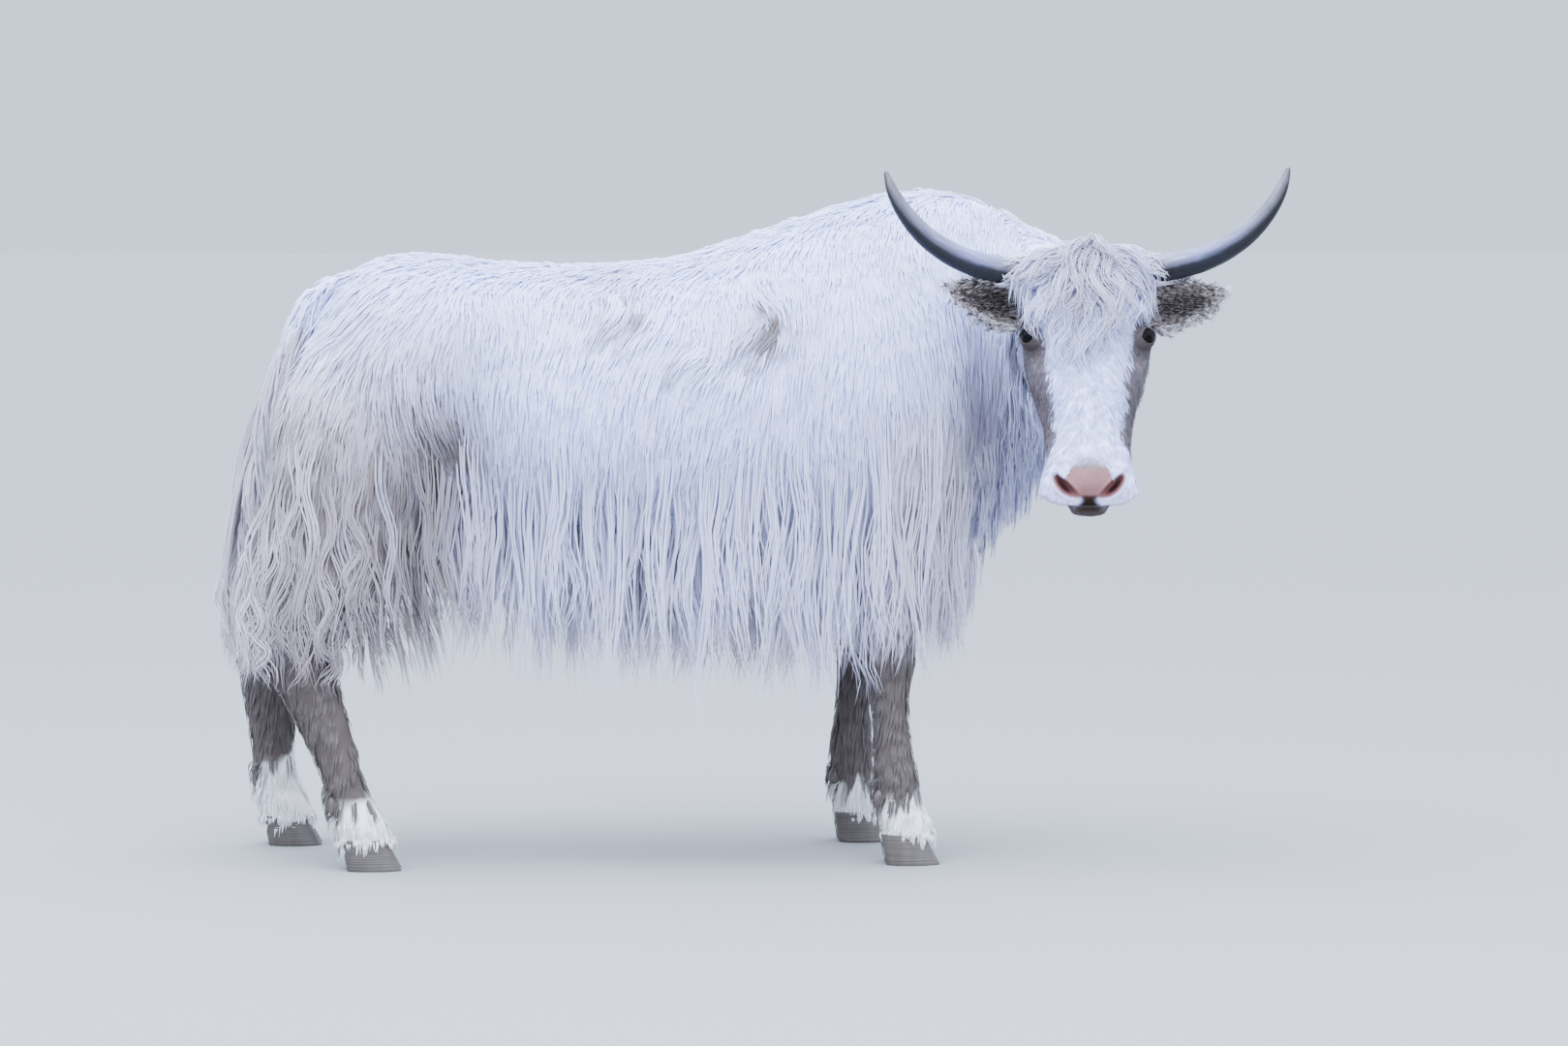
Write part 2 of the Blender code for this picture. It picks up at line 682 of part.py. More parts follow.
FORE_LEG = (
    (0.050, 0.000, 0.170, 0.052, 0.045),
    (0.075, -0.006, 0.170, 0.052, 0.045),
    (0.110, -0.016, 0.170, 0.044, 0.040),
    (0.160, -0.022, 0.169, 0.045, 0.040),
    (0.230, -0.024, 0.168, 0.038, 0.035),
    (0.320, -0.022, 0.167, 0.040, 0.037),
    (0.370, -0.018, 0.166, 0.050, 0.044),
    (0.440, -0.016, 0.164, 0.052, 0.046),
    (0.540, -0.010, 0.160, 0.075, 0.062),
    (0.640, 0.000, 0.155, 0.105, 0.080),
    (0.740, 0.015, 0.150, 0.125, 0.095),
    (0.860, 0.025, 0.145, 0.108, 0.090),
    (0.950, 0.030, 0.138, 0.075, 0.066),
)
HIND_FOOT_X = -0.778       # middle of the two hind feet
FORE_FOOT_X = 0.245
HIND_STEP = 0.072          # the right foot is this much ahead of the middle, the left one behind
FORE_STEP = 0.030
STEP_FADE = 0.62           # height by which the legs are level with each other again
LEG_SIDES = 14
HOOF_SIDES = 10
DEWCLAW_HEIGHT = 0.135
CLAW_APART = 0.0235        # half the distance between the middles of a foot's two claws


def leg_surface(table, foot_x, step, side):
    """A function of height and angle that gives points on a leg's coat."""
    def surface(height, angle):
        # round the leg from its outer side (0) to its front (90 degrees)
        ahead, aside, length, width = np.moveaxis(through(table, height), -1, 0)
        across, along = rounded(angle, 2.1)
        fade = np.clip(1 - (np.asarray(height) - HOOF_HEIGHT) / (STEP_FADE - HOOF_HEIGHT), 0, 1)
        shift = -side * step * fade * fade * (3 - 2 * fade)
        middle = foot_x + ahead + shift
        height = np.broadcast_to(height, np.shape(across)).astype(float)
        return np.stack(
            [middle + length * along, side * (aside + width * across), height], axis=-1
        )
    return surface


def leg_kinds():
    """name, surface, foot x, table and side of each leg."""
    for side, word in ((1, "left"), (-1, "right")):
        yield (f"hind_leg_{word}", leg_surface(HIND_LEG, HIND_FOOT_X, HIND_STEP, side),
               HIND_FOOT_X - side * HIND_STEP, HIND_LEG, side)
        yield (f"fore_leg_{word}", leg_surface(FORE_LEG, FORE_FOOT_X, FORE_STEP, side),
               FORE_FOOT_X - side * FORE_STEP, FORE_LEG, side)


def leg_core(name, surface, table):
    """A leg down to the top of its hooves, with a ring at each height of its table."""
    heights = [row[0] for row in table]
    heights[0] += GAP
    return lofted(name, sections(surface, heights, LEG_SIDES), GREY_BROWN)


def dewclaws(surface, side):
    """The two small claws behind the fetlock."""
    made = []
    for aside in (1, -1):
        root = surface(DEWCLAW_HEIGHT, -math.pi / 2)
        middle = root + np.array((0.006, aside * 0.018, -0.012))
        made.append(ball("dewclaw", middle, [(0.017, 0, 0), (0, 0.011, 0), (-0.008, 0, 0.020)],
                         rings=4, sides=6))
    return made


def thigh_hair(surface, side, grow=0.0):
    """Three tiers of long locks down the outside and back of a thigh."""
    made = []
    dice = np.random.default_rng(17 if side > 0 else 18)
    tiers = ((0.76, 4, 0.24, 0.022), (0.65, 4, 0.24, 0.016), (0.55, 6, 0.24, 0.010))
    for height, count, length, lift in tiers:
        for i in range(count):
            turn = math.radians(-85 + 185 * (i + 0.5) / count + dice.uniform(-4, 4))
            root = surface(height + dice.uniform(-0.015, 0.015), turn)
            out = unit(np.array((math.sin(turn), side * math.cos(turn), 0.0)))
            made.append(lock(
                root, out, DOWN + np.array((-0.06, 0, 0)), length + dice.uniform(-0.03, 0.03),
                width=0.110, thick=0.022, sink=0.035, lift=lift + 0.010 * (i % 2), drop=0.02,
                sway=0.014, phase=dice.uniform(0, 6), spans=3, grow=grow))
    return made


def forearm_hair(surface, side, grow=0.0):
    """Locks down the outside and back of the upper foreleg."""
    made = []
    dice = np.random.default_rng(19 if side > 0 else 20)
    for i in range(3):
        turn = math.radians(-75 + 65 * i)
        root = surface(0.50, turn)
        out = unit(np.array((math.sin(turn), side * math.cos(turn), 0.0)))
        made.append(lock(
            root, out, DOWN, 0.17 + dice.uniform(-0.02, 0.02), width=0.070, thick=0.015,
            sink=0.025, lift=0.010, drop=0.01, sway=0.008, phase=dice.uniform(0, 6), spans=3, grow=grow))
    return made


def make_hoof(name, foot_x, aside, side, inner):
    """One claw of a cloven hoof, flat underneath."""
    middle = aside + (-CLAW_APART if inner else CLAW_APART)
    rings = []
    for height in (0.0, 0.018, HOOF_HEIGHT):
        rise = height / HOOF_HEIGHT
        angles = np.linspace(0, 2 * math.pi, HOOF_SIDES, endpoint=False)
        across, along = rounded(angles, 2.4)
        length = 0.050 - 0.010 * rise
        width = 0.0215 - 0.0015 * rise
        narrow = 1 - 0.35 * np.clip(along, 0, 1) ** 2
        x = foot_x + 0.006 - 0.018 * rise + length * along
        y = side * (middle + width * across * narrow)
        rings.append(np.stack([x, y, np.full(HOOF_SIDES, height)], axis=1))
    return lofted(name, rings, HOOF)


# ---------------------------------------------------------------- tail
# station, x, z, half length, half width of the hairy core
TAIL_CORE = (
    (0.00, -0.740, 1.050, 0.030, 0.034),
    (0.06, -0.785, 1.030, 0.032, 0.036),
    (0.13, -0.818, 0.970, 0.034, 0.040),
    (0.26, -0.858, 0.850, 0.038, 0.048),
    (0.40, -0.892, 0.715, 0.040, 0.054),
    (0.54, -0.916, 0.575, 0.034, 0.048),
    (0.62, -0.924, 0.495, 0.020, 0.030),
)


def tail_at(station, angle):
    """Points on the tail's core. angle 0 is the left side, 90 degrees the back."""
    x, z, length, width = np.moveaxis(through(TAIL_CORE, station), -1, 0)
    ahead = through(TAIL_CORE, np.asarray(station) + 1e-3) - through(TAIL_CORE, np.asarray(station) - 1e-3)
    steep = unit(np.stack([ahead[..., 0], np.zeros_like(x), ahead[..., 1]], axis=-1))
    back = np.stack([steep[..., 2], np.zeros_like(x), -steep[..., 0]], axis=-1)
    middle = np.stack([x, np.zeros_like(x), z], axis=-1)
    side = np.array((0.0, 1.0, 0.0))
    across = np.asarray(np.cos(angle) * width)[..., None]
    out = np.asarray(np.sin(angle) * length)[..., None]
    return middle + across * side + out * back


def tail_hair(grow=0.0):
    """Tiers of locks that start along the dock and hang to below the hocks."""
    made = []
    dice = np.random.default_rng(21)
    tiers = ((0.15, 4, 0.32), (0.30, 5, 0.36), (0.45, 6, 0.36))
    for tier, (station, count, length) in enumerate(tiers):
        for i in range(count):
            turn = math.radians(-35 + 250 * (i + 0.5) / count + dice.uniform(-6, 6))
            root = tail_at(station, turn)
            out = unit(np.array((-math.sin(turn), math.cos(turn), 0.0)))
            low = min(length + dice.uniform(-0.02, 0.03), root[2] - TAIL_CLEARANCE)
            made.append(lock(
                root, out, DOWN + np.array((-0.12 + 0.05 * tier, 0, 0)) + out * 0.02, low, width=0.080,
                thick=0.018, sink=0.025, lift=0.012 + 0.008 * (i % 2), drop=0.010, sway=0.012,
                phase=dice.uniform(0, 6), grow=grow))
    return made


def make_tail():
    """The dock and the dense middle of the tail's hair."""
    stations = (0.0, 0.03, 0.06, 0.10, 0.16, 0.24, 0.34, 0.46, 0.56, 0.62)
    return lofted("tail", sections(tail_at, stations, 12), CREAM)


# ---------------------------------------------------------------- udder
UDDER_X, UDDER_HEIGHT, TEAT_HEIGHT = -0.52, 0.555, 0.487


def make_udder():
    """The small udder of a yak, with four short teats, between the thighs."""
    udder = ball("udder", (UDDER_X, 0, UDDER_HEIGHT), [(0.10, 0, 0), (0, 0.075, 0), (0, 0, 0.075)],
                 rings=6, sides=12, finish=PINK)
    teats = []
    for ahead in (0.038, -0.038):
        for aside in (0.030, -0.030):
            middle = (UDDER_X + ahead, aside, TEAT_HEIGHT)
            teats.append(ball("teat", middle, [(0.011, 0, 0), (0, 0.011, 0), (0, 0, 0.028)],
                              rings=4, sides=6))
    return combine(udder, "UNION", teats)


# ---------------------------------------------------------------- the whole animal
def build():
    """Clears the scene and makes every node. A node is cut by each neighbour that runs into it."""
    for old in list(bpy.data.objects):
        bpy.data.objects.remove(old)

    eyes = [make_eye("eye_left", 1), make_eye("eye_right", -1)]
    horns = [
        lofted(name, horn_rings(side), HORN) for name, side in (("horn_left", 1), ("horn_right", -1))
    ]
    head = make_head()
    combine(head, "DIFFERENCE", [grown(part) for part in eyes])
    combine(head, "UNION", forelock() + poll_tufts() + chin_hair())
    combine(head, "DIFFERENCE", [grown(part) for part in horns])

    neck = neck_core()
    for name, side in (("ear_left", 1), ("ear_right", -1)):
        ear = make_ear(name, side)
        combine(ear, "UNION", ear_fringe(side))
        combine(ear, "DIFFERENCE", [grown(head), grown(neck)])
    combine(neck, "UNION", throat())
    combine(neck, "DIFFERENCE", [grown(head)] + brisket(GROW_HAIR))

    torso = make_torso()
    skirts = []
    for flank in (1, -1):
        curtain = skirt_core(flank)
        combine(curtain, "UNION", skirt_hair(flank))
        combine(curtain, "DIFFERENCE", [grown(torso_core("cutter"))] + brisket(GROW_HAIR))
        bpy.data.objects.remove(bpy.data.objects["cutter"])
        skirts.append(curtain)

    tail = make_tail()
    legs = []
    for name, surface, foot_x, table, side in leg_kinds():
        core = leg_core(name, surface, table)
        hair = thigh_hair if name.startswith("hind") else forearm_hair
        for other in (torso, skirts[0] if side > 0 else skirts[1]):
            combine(other, "DIFFERENCE", [grown(core)] + hair(surface, side, GROW_HAIR))
        combine(core, "UNION", hair(surface, side) + dewclaws(surface, side))
        legs.append(core)
        for inner in (True, False):
            word = "inner" if inner else "outer"
            make_hoof(name.replace("leg", "hoof") + "_" + word, foot_x, table[0][2], side, inner)

    for other in (torso, legs[0], legs[2]):
        combine(other, "DIFFERENCE", [grown(tail)] + tail_hair(GROW_HAIR))
    combine(tail, "UNION", tail_hair())

    udder = make_udder()
    combine(torso, "DIFFERENCE", [grown(udder)])

    for part in bpy.data.objects:
        part.data.transform(Matrix.Translation(tuple(MIDDLE)))


build()
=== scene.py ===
"""A white domestic yak cow at life size, standing with its head turned to its right side.

Metres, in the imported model's frame. Each section makes one part of the animal: the hide, the eyes, the
horns and the claws, and then the coat, from the trunk and the long locks to the legs and the head."""

import json
import math

import bpy
import numpy as np
from mathutils import Matrix
from mathutils.bvhtree import BVHTree

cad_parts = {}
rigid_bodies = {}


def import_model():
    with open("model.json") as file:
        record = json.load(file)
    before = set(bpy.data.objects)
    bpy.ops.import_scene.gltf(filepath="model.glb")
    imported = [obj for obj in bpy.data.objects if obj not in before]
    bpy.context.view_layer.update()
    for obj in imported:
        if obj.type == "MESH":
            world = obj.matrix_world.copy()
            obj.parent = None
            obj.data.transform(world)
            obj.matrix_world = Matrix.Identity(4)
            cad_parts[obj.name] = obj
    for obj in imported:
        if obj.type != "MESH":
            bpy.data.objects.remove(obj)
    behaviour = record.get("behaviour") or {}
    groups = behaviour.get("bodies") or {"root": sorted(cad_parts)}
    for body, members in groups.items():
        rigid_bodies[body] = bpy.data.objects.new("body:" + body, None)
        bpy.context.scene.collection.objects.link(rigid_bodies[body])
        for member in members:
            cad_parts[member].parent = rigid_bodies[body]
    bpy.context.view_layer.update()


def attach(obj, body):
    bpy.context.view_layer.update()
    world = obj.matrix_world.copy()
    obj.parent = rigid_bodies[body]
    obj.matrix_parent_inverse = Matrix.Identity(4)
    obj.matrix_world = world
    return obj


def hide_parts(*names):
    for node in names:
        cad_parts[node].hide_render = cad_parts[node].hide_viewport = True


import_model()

# ================================================================ the hide of the trunk and neck
# The hide is one skin of cow leather under the hair. Its trunk is a row of upright sections from
# the buttocks to the nape, each peaked or flattened above as the withers and the loin are, and
# it lies inside the coat by the depth of the hair there.
PLACE = np.array((0.018, 0.106, 0.0))      # from the middle of the body's own measures to the frame
DOWN = np.array((0.0, 0.0, -1.0))


def unit(v):
    """Vectors divided by their lengths."""
    return v / np.maximum(np.linalg.norm(v, axis=-1, keepdims=True), 1e-9)


def smooth(value, low, high):
    """0 below low, 1 above high, and 3t^2 - 2t^3 between."""
    t = np.clip((value - low) / (high - low), 0, 1)
    return t * t * (3 - 2 * t)


def through(table, at):
    """Cubic Hermite values at the stations asked for; column 0 of table holds its stations."""
    table = np.array(table, float)
    stations, values = table[:, 0], table[:, 1:]
    slopes = np.gradient(values, stations, axis=0)
    at = np.clip(np.asarray(at, float), stations[0], stations[-1])
    span = np.clip(np.searchsorted(stations, at, side="right") - 1, 0, len(stations) - 2)
    step = (stations[span + 1] - stations[span])[..., None]
    t = (at - stations[span])[..., None] / step
    return (
        values[span] * (2 * t**3 - 3 * t**2 + 1)
        + values[span + 1] * (3 * t**2 - 2 * t**3)
        + slopes[span] * step * (t**3 - 2 * t**2 + t)
        + slopes[span + 1] * step * (t**3 - t**2)
    )


def split(points):
    """The last axis of an array as arrays of their own, such as x, y and z."""
    return np.moveaxis(points, -1, 0)


def stacked(*parts):
    """Arrays or numbers such as x, y and z as the last axis of one array: split turned round."""
    return np.stack(np.broadcast_arrays(*parts), -1)


def rounded(angle, power):
    """(cosine, sine) of an angle bent to a superellipse: over 2 is boxy, under 2 is peaked."""
    c, s = np.cos(angle), np.sin(angle)
    return np.sign(c) * abs(c) ** (2 / power), np.sign(s) * abs(s) ** (2 / power)


def lumps(points, table):
    """A sum of soft round swellings, exp(-d^2) of the distance in radii, alike on both sides.

    Each row holds the middle, the three radii and the height; a height under 0 is a hollow."""
    x, y, z = points[..., 0], points[..., 1], points[..., 2]
    total = np.zeros(points.shape[:-1])
    for (mx, my, mz), (rx, ry, rz), height in table:
        both = np.minimum(((y - my) / ry) ** 2, ((y + my) / ry) ** 2)
        total += height * np.exp(-(((x - mx) / rx) ** 2 + both + ((z - mz) / rz) ** 2))
    return total


# x, top, bottom, half width, peakedness of the top, all of the coat
STRAIGHT = (
    (-0.850, 0.920, 0.740, 0.060, 2.0),
    (-0.832, 0.985, 0.690, 0.125, 2.0),
    (-0.795, 1.048, 0.645, 0.190, 2.1),
    (-0.730, 1.098, 0.610, 0.238, 2.1),
    (-0.600, 1.124, 0.595, 0.266, 2.0),
    (-0.460, 1.108, 0.580, 0.272, 1.9),
    (-0.320, 1.104, 0.545, 0.300, 2.0),
    (-0.150, 1.115, 0.515, 0.325, 2.0),
    (0.010, 1.163, 0.505, 0.325, 1.9),
    (0.150, 1.208, 0.500, 0.300, 1.75),
    (0.270, 1.236, 0.505, 0.275, 1.65),
)
# station, x, y, heading in degrees, and then as above, from the withers to the nape
BENT = (
    (0.360, 0.360, 0.000, -2, 1.236, 0.530, 0.245, 1.65),
    (0.430, 0.425, -0.005, -12, 1.218, 0.580, 0.210, 1.7),
    (0.490, 0.474, -0.025, -25, 1.192, 0.650, 0.182, 1.8),
    (0.550, 0.516, -0.068, -42, 1.163, 0.715, 0.158, 1.9),
    (0.620, 0.548, -0.128, -62, 1.137, 0.765, 0.136, 1.9),
    (0.690, 0.564, -0.195, -78, 1.124, 0.800, 0.120, 1.9),
    (0.760, 0.571, -0.265, -88, 1.118, 0.825, 0.108, 1.9),
    (0.830, 0.575, -0.335, -92, 1.095, 0.850, 0.095, 1.9),
)
TRUNK = (*((x, x, 0, 0, *rest) for x, *rest in STRAIGHT), *BENT)
COAT_ON_BACK, COAT_ON_SIDE, COAT_BELOW, COAT_AT_NAPE = 0.020, 0.022, 0.026, 0.010
WIDEST = 0.46                              # height of the widest place, as a share of the section
BODY_LUMPS = (
    ((-0.500, 0.190, 1.030), (0.060, 0.070, 0.060), 0.014),    # point of the hip
    ((-0.360, 0.240, 0.960), (0.090, 0.090, 0.080), -0.012),   # hollow before it
    ((-0.525, 0.250, 0.800), (0.070, 0.080, 0.110), -0.016),   # fold of the flank
    ((-0.150, 0.300, 0.800), (0.220, 0.120, 0.170), 0.010),    # ribs
    ((0.090, 0.290, 0.850), (0.050, 0.100, 0.200), -0.010),    # behind the shoulder
    ((0.230, 0.260, 0.900), (0.090, 0.120, 0.170), 0.016),     # shoulder blade
    ((0.290, 0.240, 0.690), (0.080, 0.120, 0.090), 0.014),     # point of the shoulder
    ((0.420, 0.190, 0.880), (0.060, 0.100, 0.140), -0.012),    # before the shoulder
    ((-0.700, 0.170, 0.960), (0.080, 0.080, 0.100), 0.008),    # rump
)


def trunk_at(station, angle):
    """Points on the hide of the trunk. angle runs round each section: 0 left, 90 degrees up.

    A superellipse in an upright plane turned to the heading, drawn in by the coat's depth, and
    swollen or hollowed away from the section's middle."""
    x, y, heading, top, bottom, half, peak = split(through(TRUNK, station))
    heading = np.radians(heading)
    nape = smooth(station, 0.45, 0.70)
    top = top - COAT_ON_BACK + (COAT_ON_BACK - COAT_AT_NAPE) * nape
    half = half - COAT_ON_SIDE + (COAT_ON_SIDE - COAT_AT_NAPE) * nape
    bottom = bottom + COAT_BELOW - (COAT_BELOW - COAT_AT_NAPE) * nape
    x = x + COAT_ON_SIDE * (1 - smooth(station, -0.85, -0.60))
    upper = np.sin(angle) >= 0
    across, up = rounded(angle, np.where(upper, peak, 2.3))
    middle = bottom + WIDEST * (top - bottom)
    height = middle + np.where(upper, top - middle, middle - bottom) * up
    core = stacked(x, y, middle)
    point = stacked(x - np.sin(heading) * half * across, y + np.cos(heading) * half * across, height)
    return point + unit(point - core) * lumps(point, BODY_LUMPS)[..., None]


class Ground:
    """A surface that hair grows from: a grid of points, round in its second direction.

    Each grid place also keeps its outward normal, the cross product of the two slopes, and the
    slopes themselves. Between the grid places all four are read bilinearly."""

    def __init__(self, points):
        rows = np.gradient(points, axis=0)
        turns = (np.roll(points, -1, 1) - np.roll(points, 1, 1)) / 2
        out = np.cross(turns, rows)
        self.area = np.linalg.norm(out, axis=-1)
        away = np.sum(out * (points - points.mean(axis=1, keepdims=True)))
        self.sign = 1 if away > 0 else -1
        self.points = points
        self.sheet = np.concatenate([points, self.sign * unit(out), rows, turns], axis=-1)

    def read(self, u, v):
        """Point, outward normal and the two slopes at grid places u, v."""
        rows, turns = self.area.shape
        u = np.clip(u, 0, rows - 1.001)
        v = np.mod(v, turns)
        i, j = np.floor(u).astype(int), np.floor(v).astype(int) % turns
        a, b = (u - i)[..., None], (v - np.floor(v))[..., None]
        k = (j + 1) % turns
        got = (self.sheet[i, j] * (1 - a) + self.sheet[i + 1, j] * a) * (1 - b)
        got += (self.sheet[i, k] * (1 - a) + self.sheet[i + 1, k] * a) * b
        return got[..., :3], unit(got[..., 3:6]), got[..., 6:9], got[..., 9:]

    def step(self, slopes, move):
        """The grid steps that a small move in space takes: least squares on the two slopes."""
        row, turn = slopes
        rr, tt, rt = (np.sum(p * q, -1) for p, q in ((row, row), (turn, turn), (row, turn)))
        rm, tm = np.sum(row * move, -1), np.sum(turn * move, -1)
        det = np.maximum(rr * tt - rt * rt, 1e-14)
        return (tt * rm - rt * tm) / det, (rr * tm - rt * rm) / det

    def scatter(self, count, density, dice):
        """Grid places spread evenly, as often as the area of the surface times density.

        The cells are taken in the order of their interleaved bits, which keeps neighbours together,
        and one place is drawn from each equal share of the running total."""
        rows, turns = self.area.shape
        i, j = np.divmod(np.arange(rows * turns), turns)
        bits = range(9)
        order = np.argsort(sum(((i >> b & 1) << (2 * b + 1)) + ((j >> b & 1) << (2 * b)) for b in bits))
        running = np.cumsum((self.area * density).ravel()[order])
        at = (np.arange(count) + dice.uniform(0, 1, count)) / count * running[-1]
        cells = order[np.minimum(np.searchsorted(running, at), len(order) - 1)]
        return (
            np.clip(cells // turns + dice.uniform(-0.5, 0.5, count), 0, rows - 1.01),
            cells % turns + dice.uniform(-0.5, 0.5, count),
        )


def grid(surface, rows, turns):
    """A surface of two parameters at every pair of their values."""
    return surface(*np.meshgrid(rows, turns, indexing="ij"))


def around(count):
    """count angles evenly round a turn."""
    return np.linspace(0, 2 * math.pi, count, endpoint=False)


STATIONS = np.linspace(TRUNK[0][0], TRUNK[-1][0], 240)
trunk = Ground(grid(trunk_at, STATIONS, around(200)))

# ================================================================ the hide of the legs
# Each leg is a stack of level sections from the coronet to inside the trunk: hoof, pastern,
# fetlock, cannon, hock or knee, and the thigh or shoulder. The hide stands back from the coat by
# a few millimetres below and by more on the thigh.
# height, place ahead of the foot, aside from the middle plane, half length, half width
HIND_LEG = (
    (0.050, -0.010, 0.190, 0.056, 0.048),
    (0.080, -0.018, 0.190, 0.055, 0.048),
    (0.115, -0.030, 0.190, 0.046, 0.041),
    (0.165, -0.042, 0.189, 0.042, 0.037),
    (0.235, -0.056, 0.188, 0.049, 0.038),
    (0.320, -0.074, 0.185, 0.060, 0.042),
    (0.390, -0.085, 0.182, 0.078, 0.050),
    (0.460, -0.065, 0.178, 0.105, 0.064),
    (0.540, -0.018, 0.168, 0.145, 0.084),
    (0.640, 0.030, 0.156, 0.165, 0.104),
    (0.740, 0.052, 0.146, 0.178, 0.118),
    (0.840, 0.060, 0.138, 0.170, 0.112),
    (0.920, 0.056, 0.126, 0.130, 0.088),
    (0.970, 0.050, 0.120, 0.080, 0.055),
)
FORE_LEG = (
    (0.050, 0.000, 0.170, 0.052, 0.045),
    (0.075, -0.006, 0.170, 0.052, 0.045),
    (0.110, -0.016, 0.170, 0.044, 0.040),
    (0.160, -0.022, 0.169, 0.045, 0.040),
    (0.230, -0.024, 0.168, 0.038, 0.035),
    (0.320, -0.022, 0.167, 0.040, 0.037),
    (0.370, -0.018, 0.166, 0.050, 0.044),
    (0.440, -0.016, 0.164, 0.052, 0.046),
    (0.540, -0.010, 0.160, 0.075, 0.062),
    (0.640, 0.000, 0.155, 0.105, 0.080),
    (0.740, 0.015, 0.150, 0.125, 0.095),
    (0.860, 0.025, 0.145, 0.108, 0.090),
    (0.950, 0.030, 0.138, 0.075, 0.066),
)
HIND_FOOT_X, FORE_FOOT_X = -0.778, 0.245   # middle of each pair of feet
HIND_STEP, FORE_STEP = 0.072, 0.030        # the right foot is this much ahead of the middle
HOOF_HEIGHT, STEP_FADE = 0.050, 0.62
LEG_COAT, THIGH_COAT = 0.004, 0.022        # depth of the hair over the hide
LEG_POWER = 2.1                            # of the superellipses across the legs
LEG_LUMPS = (
    ((-0.900, 0.182, 0.405), (0.030, 0.060, 0.030), 0.008),    # point of the hock
    ((-0.760, 0.185, 0.455), (0.030, 0.060, 0.030), -0.006),   # bend above it
    ((-0.560, 0.240, 0.700), (0.060, 0.060, 0.080), 0.010),    # stifle
    ((0.265, 0.167, 0.385), (0.020, 0.050, 0.025), 0.003),     # knee
)


SIDES = ((1, "left"), (-1, "right"))


def leg_kinds():
    """The name of each of the four legs, and its table, foot, step and side."""
    for side, word in SIDES:
        yield f"hind_leg_{word}", (HIND_LEG, HIND_FOOT_X, HIND_STEP, side)
        yield f"fore_leg_{word}", (FORE_LEG, FORE_FOOT_X, FORE_STEP, side)


def leg_section(height, table, foot_x, step, side):
    """(x, y, half length, half width) of a leg's level section, shifted by the stride.

    The shift is full at the foot and fades to nothing where the legs are level again."""
    ahead, aside, length, width = split(through(table, height))
    fade = 1 - smooth(height, HOOF_HEIGHT, STEP_FADE)
    return foot_x + ahead - side * step * fade, side * aside, length, width


def leg_surface(*leg):
    """A function of height and angle: a superellipse round the middle of the leg's section."""
    def surface(height, angle):
        x, y, length, width = leg_section(height, *leg)
        depth = LEG_COAT + (THIGH_COAT - LEG_COAT) * smooth(height, 0.40, 0.62)
        across, along = rounded(angle, LEG_POWER)
        core = stacked(x, y, height)
        point = core + stacked((length - depth) * along, leg[-1] * (width - depth) * across, 0)
        return point + unit(point - core) * lumps(point, LEG_LUMPS)[..., None]
    return surface


HEIGHTS = np.linspace(0.046, 0.97, 200)
legs = {name: Ground(grid(leg_surface(*leg), HEIGHTS, around(90))) for name, leg in leg_kinds()}


def inside_leg(points, grow=1.0):
    """True for points inside one of the legs, by the sections at their height."""
    x, y, z = split(points)
    found = np.zeros(x.shape, bool)
    for _, leg in leg_kinds():
        mx, my, length, width = leg_section(z, *leg)
        dx, dy = abs((x - mx) / (length * grow)), abs((y - my) / (width * grow))
        found |= (dx**LEG_POWER + dy**LEG_POWER < 1) & (z < leg[0][-1][0])
    return found


def inside_trunk(points, grow=1.0):
    """True for points inside the straight part of the trunk, by its section at their x."""
    x, y, z = split(points)
    _, _, _, top, bottom, half, _ = split(through(TRUNK, x))
    middle = bottom + WIDEST * (top - bottom)
    tall = np.where(z > middle, top - middle, middle - bottom)
    across, up = abs(y / (half * grow)), abs((z - middle) / (tall * grow))
    return (across**LEG_POWER + up**LEG_POWER < 1) & (x > -0.84)


# ================================================================ the hide of the tail and udder
# The dock is a thin, fleshy stalk that only carries the tail's hair. The udder is small, as a
# yak's is, with four short teats, and sits between the thighs under fine fair hair.
# station, x, z, half length, half width of the dense hair on it
TAIL_CORE = (
    (0.00, -0.740, 1.050, 0.030, 0.034),
    (0.06, -0.785, 1.030, 0.032, 0.036),
    (0.13, -0.818, 0.970, 0.034, 0.040),
    (0.26, -0.858, 0.850, 0.038, 0.048),
    (0.40, -0.892, 0.715, 0.040, 0.054),
    (0.54, -0.916, 0.575, 0.034, 0.048),
    (0.62, -0.924, 0.495, 0.020, 0.030),
)


def tail_at(station, angle):
    """Points on the dock. angle 0 is the left side, 90 degrees the back. It thins to its end."""
    x, z, length, width = split(through(TAIL_CORE, station))
    ahead = through(TAIL_CORE, station + 1e-3) - through(TAIL_CORE, station - 1e-3)
    steep = unit(stacked(ahead[..., 0], 0, ahead[..., 1]))
    back = stacked(steep[..., 2], 0, -steep[..., 0])
    lean = 0.85 - 0.60 * smooth(station, 0.05, 0.55)
    middle = stacked(x, 0, z)
    aside = (np.cos(angle) * width * lean)[..., None] * np.array((0, 1.0, 0))
    return middle + aside + (np.sin(angle) * length * lean)[..., None] * back


tail = Ground(grid(tail_at, np.linspace(0.0, 0.56, 80), around(48)))


def ball(down, turn):
    """Points of a ball of radius 1, at the angles down from its pole and round it."""
    return stacked(np.sin(down) * np.cos(turn), np.sin(down) * np.sin(turn), np.cos(down))


def ellipsoid(middle, radii, rings=40, sides=48):
    """A closed ball of three radii as a grid from pole to pole."""
    down = np.linspace(0.02, math.pi - 0.02, rings)[:, None]
    return np.asarray(middle) + ball(down, around(sides)[None, :]) * np.asarray(radii)


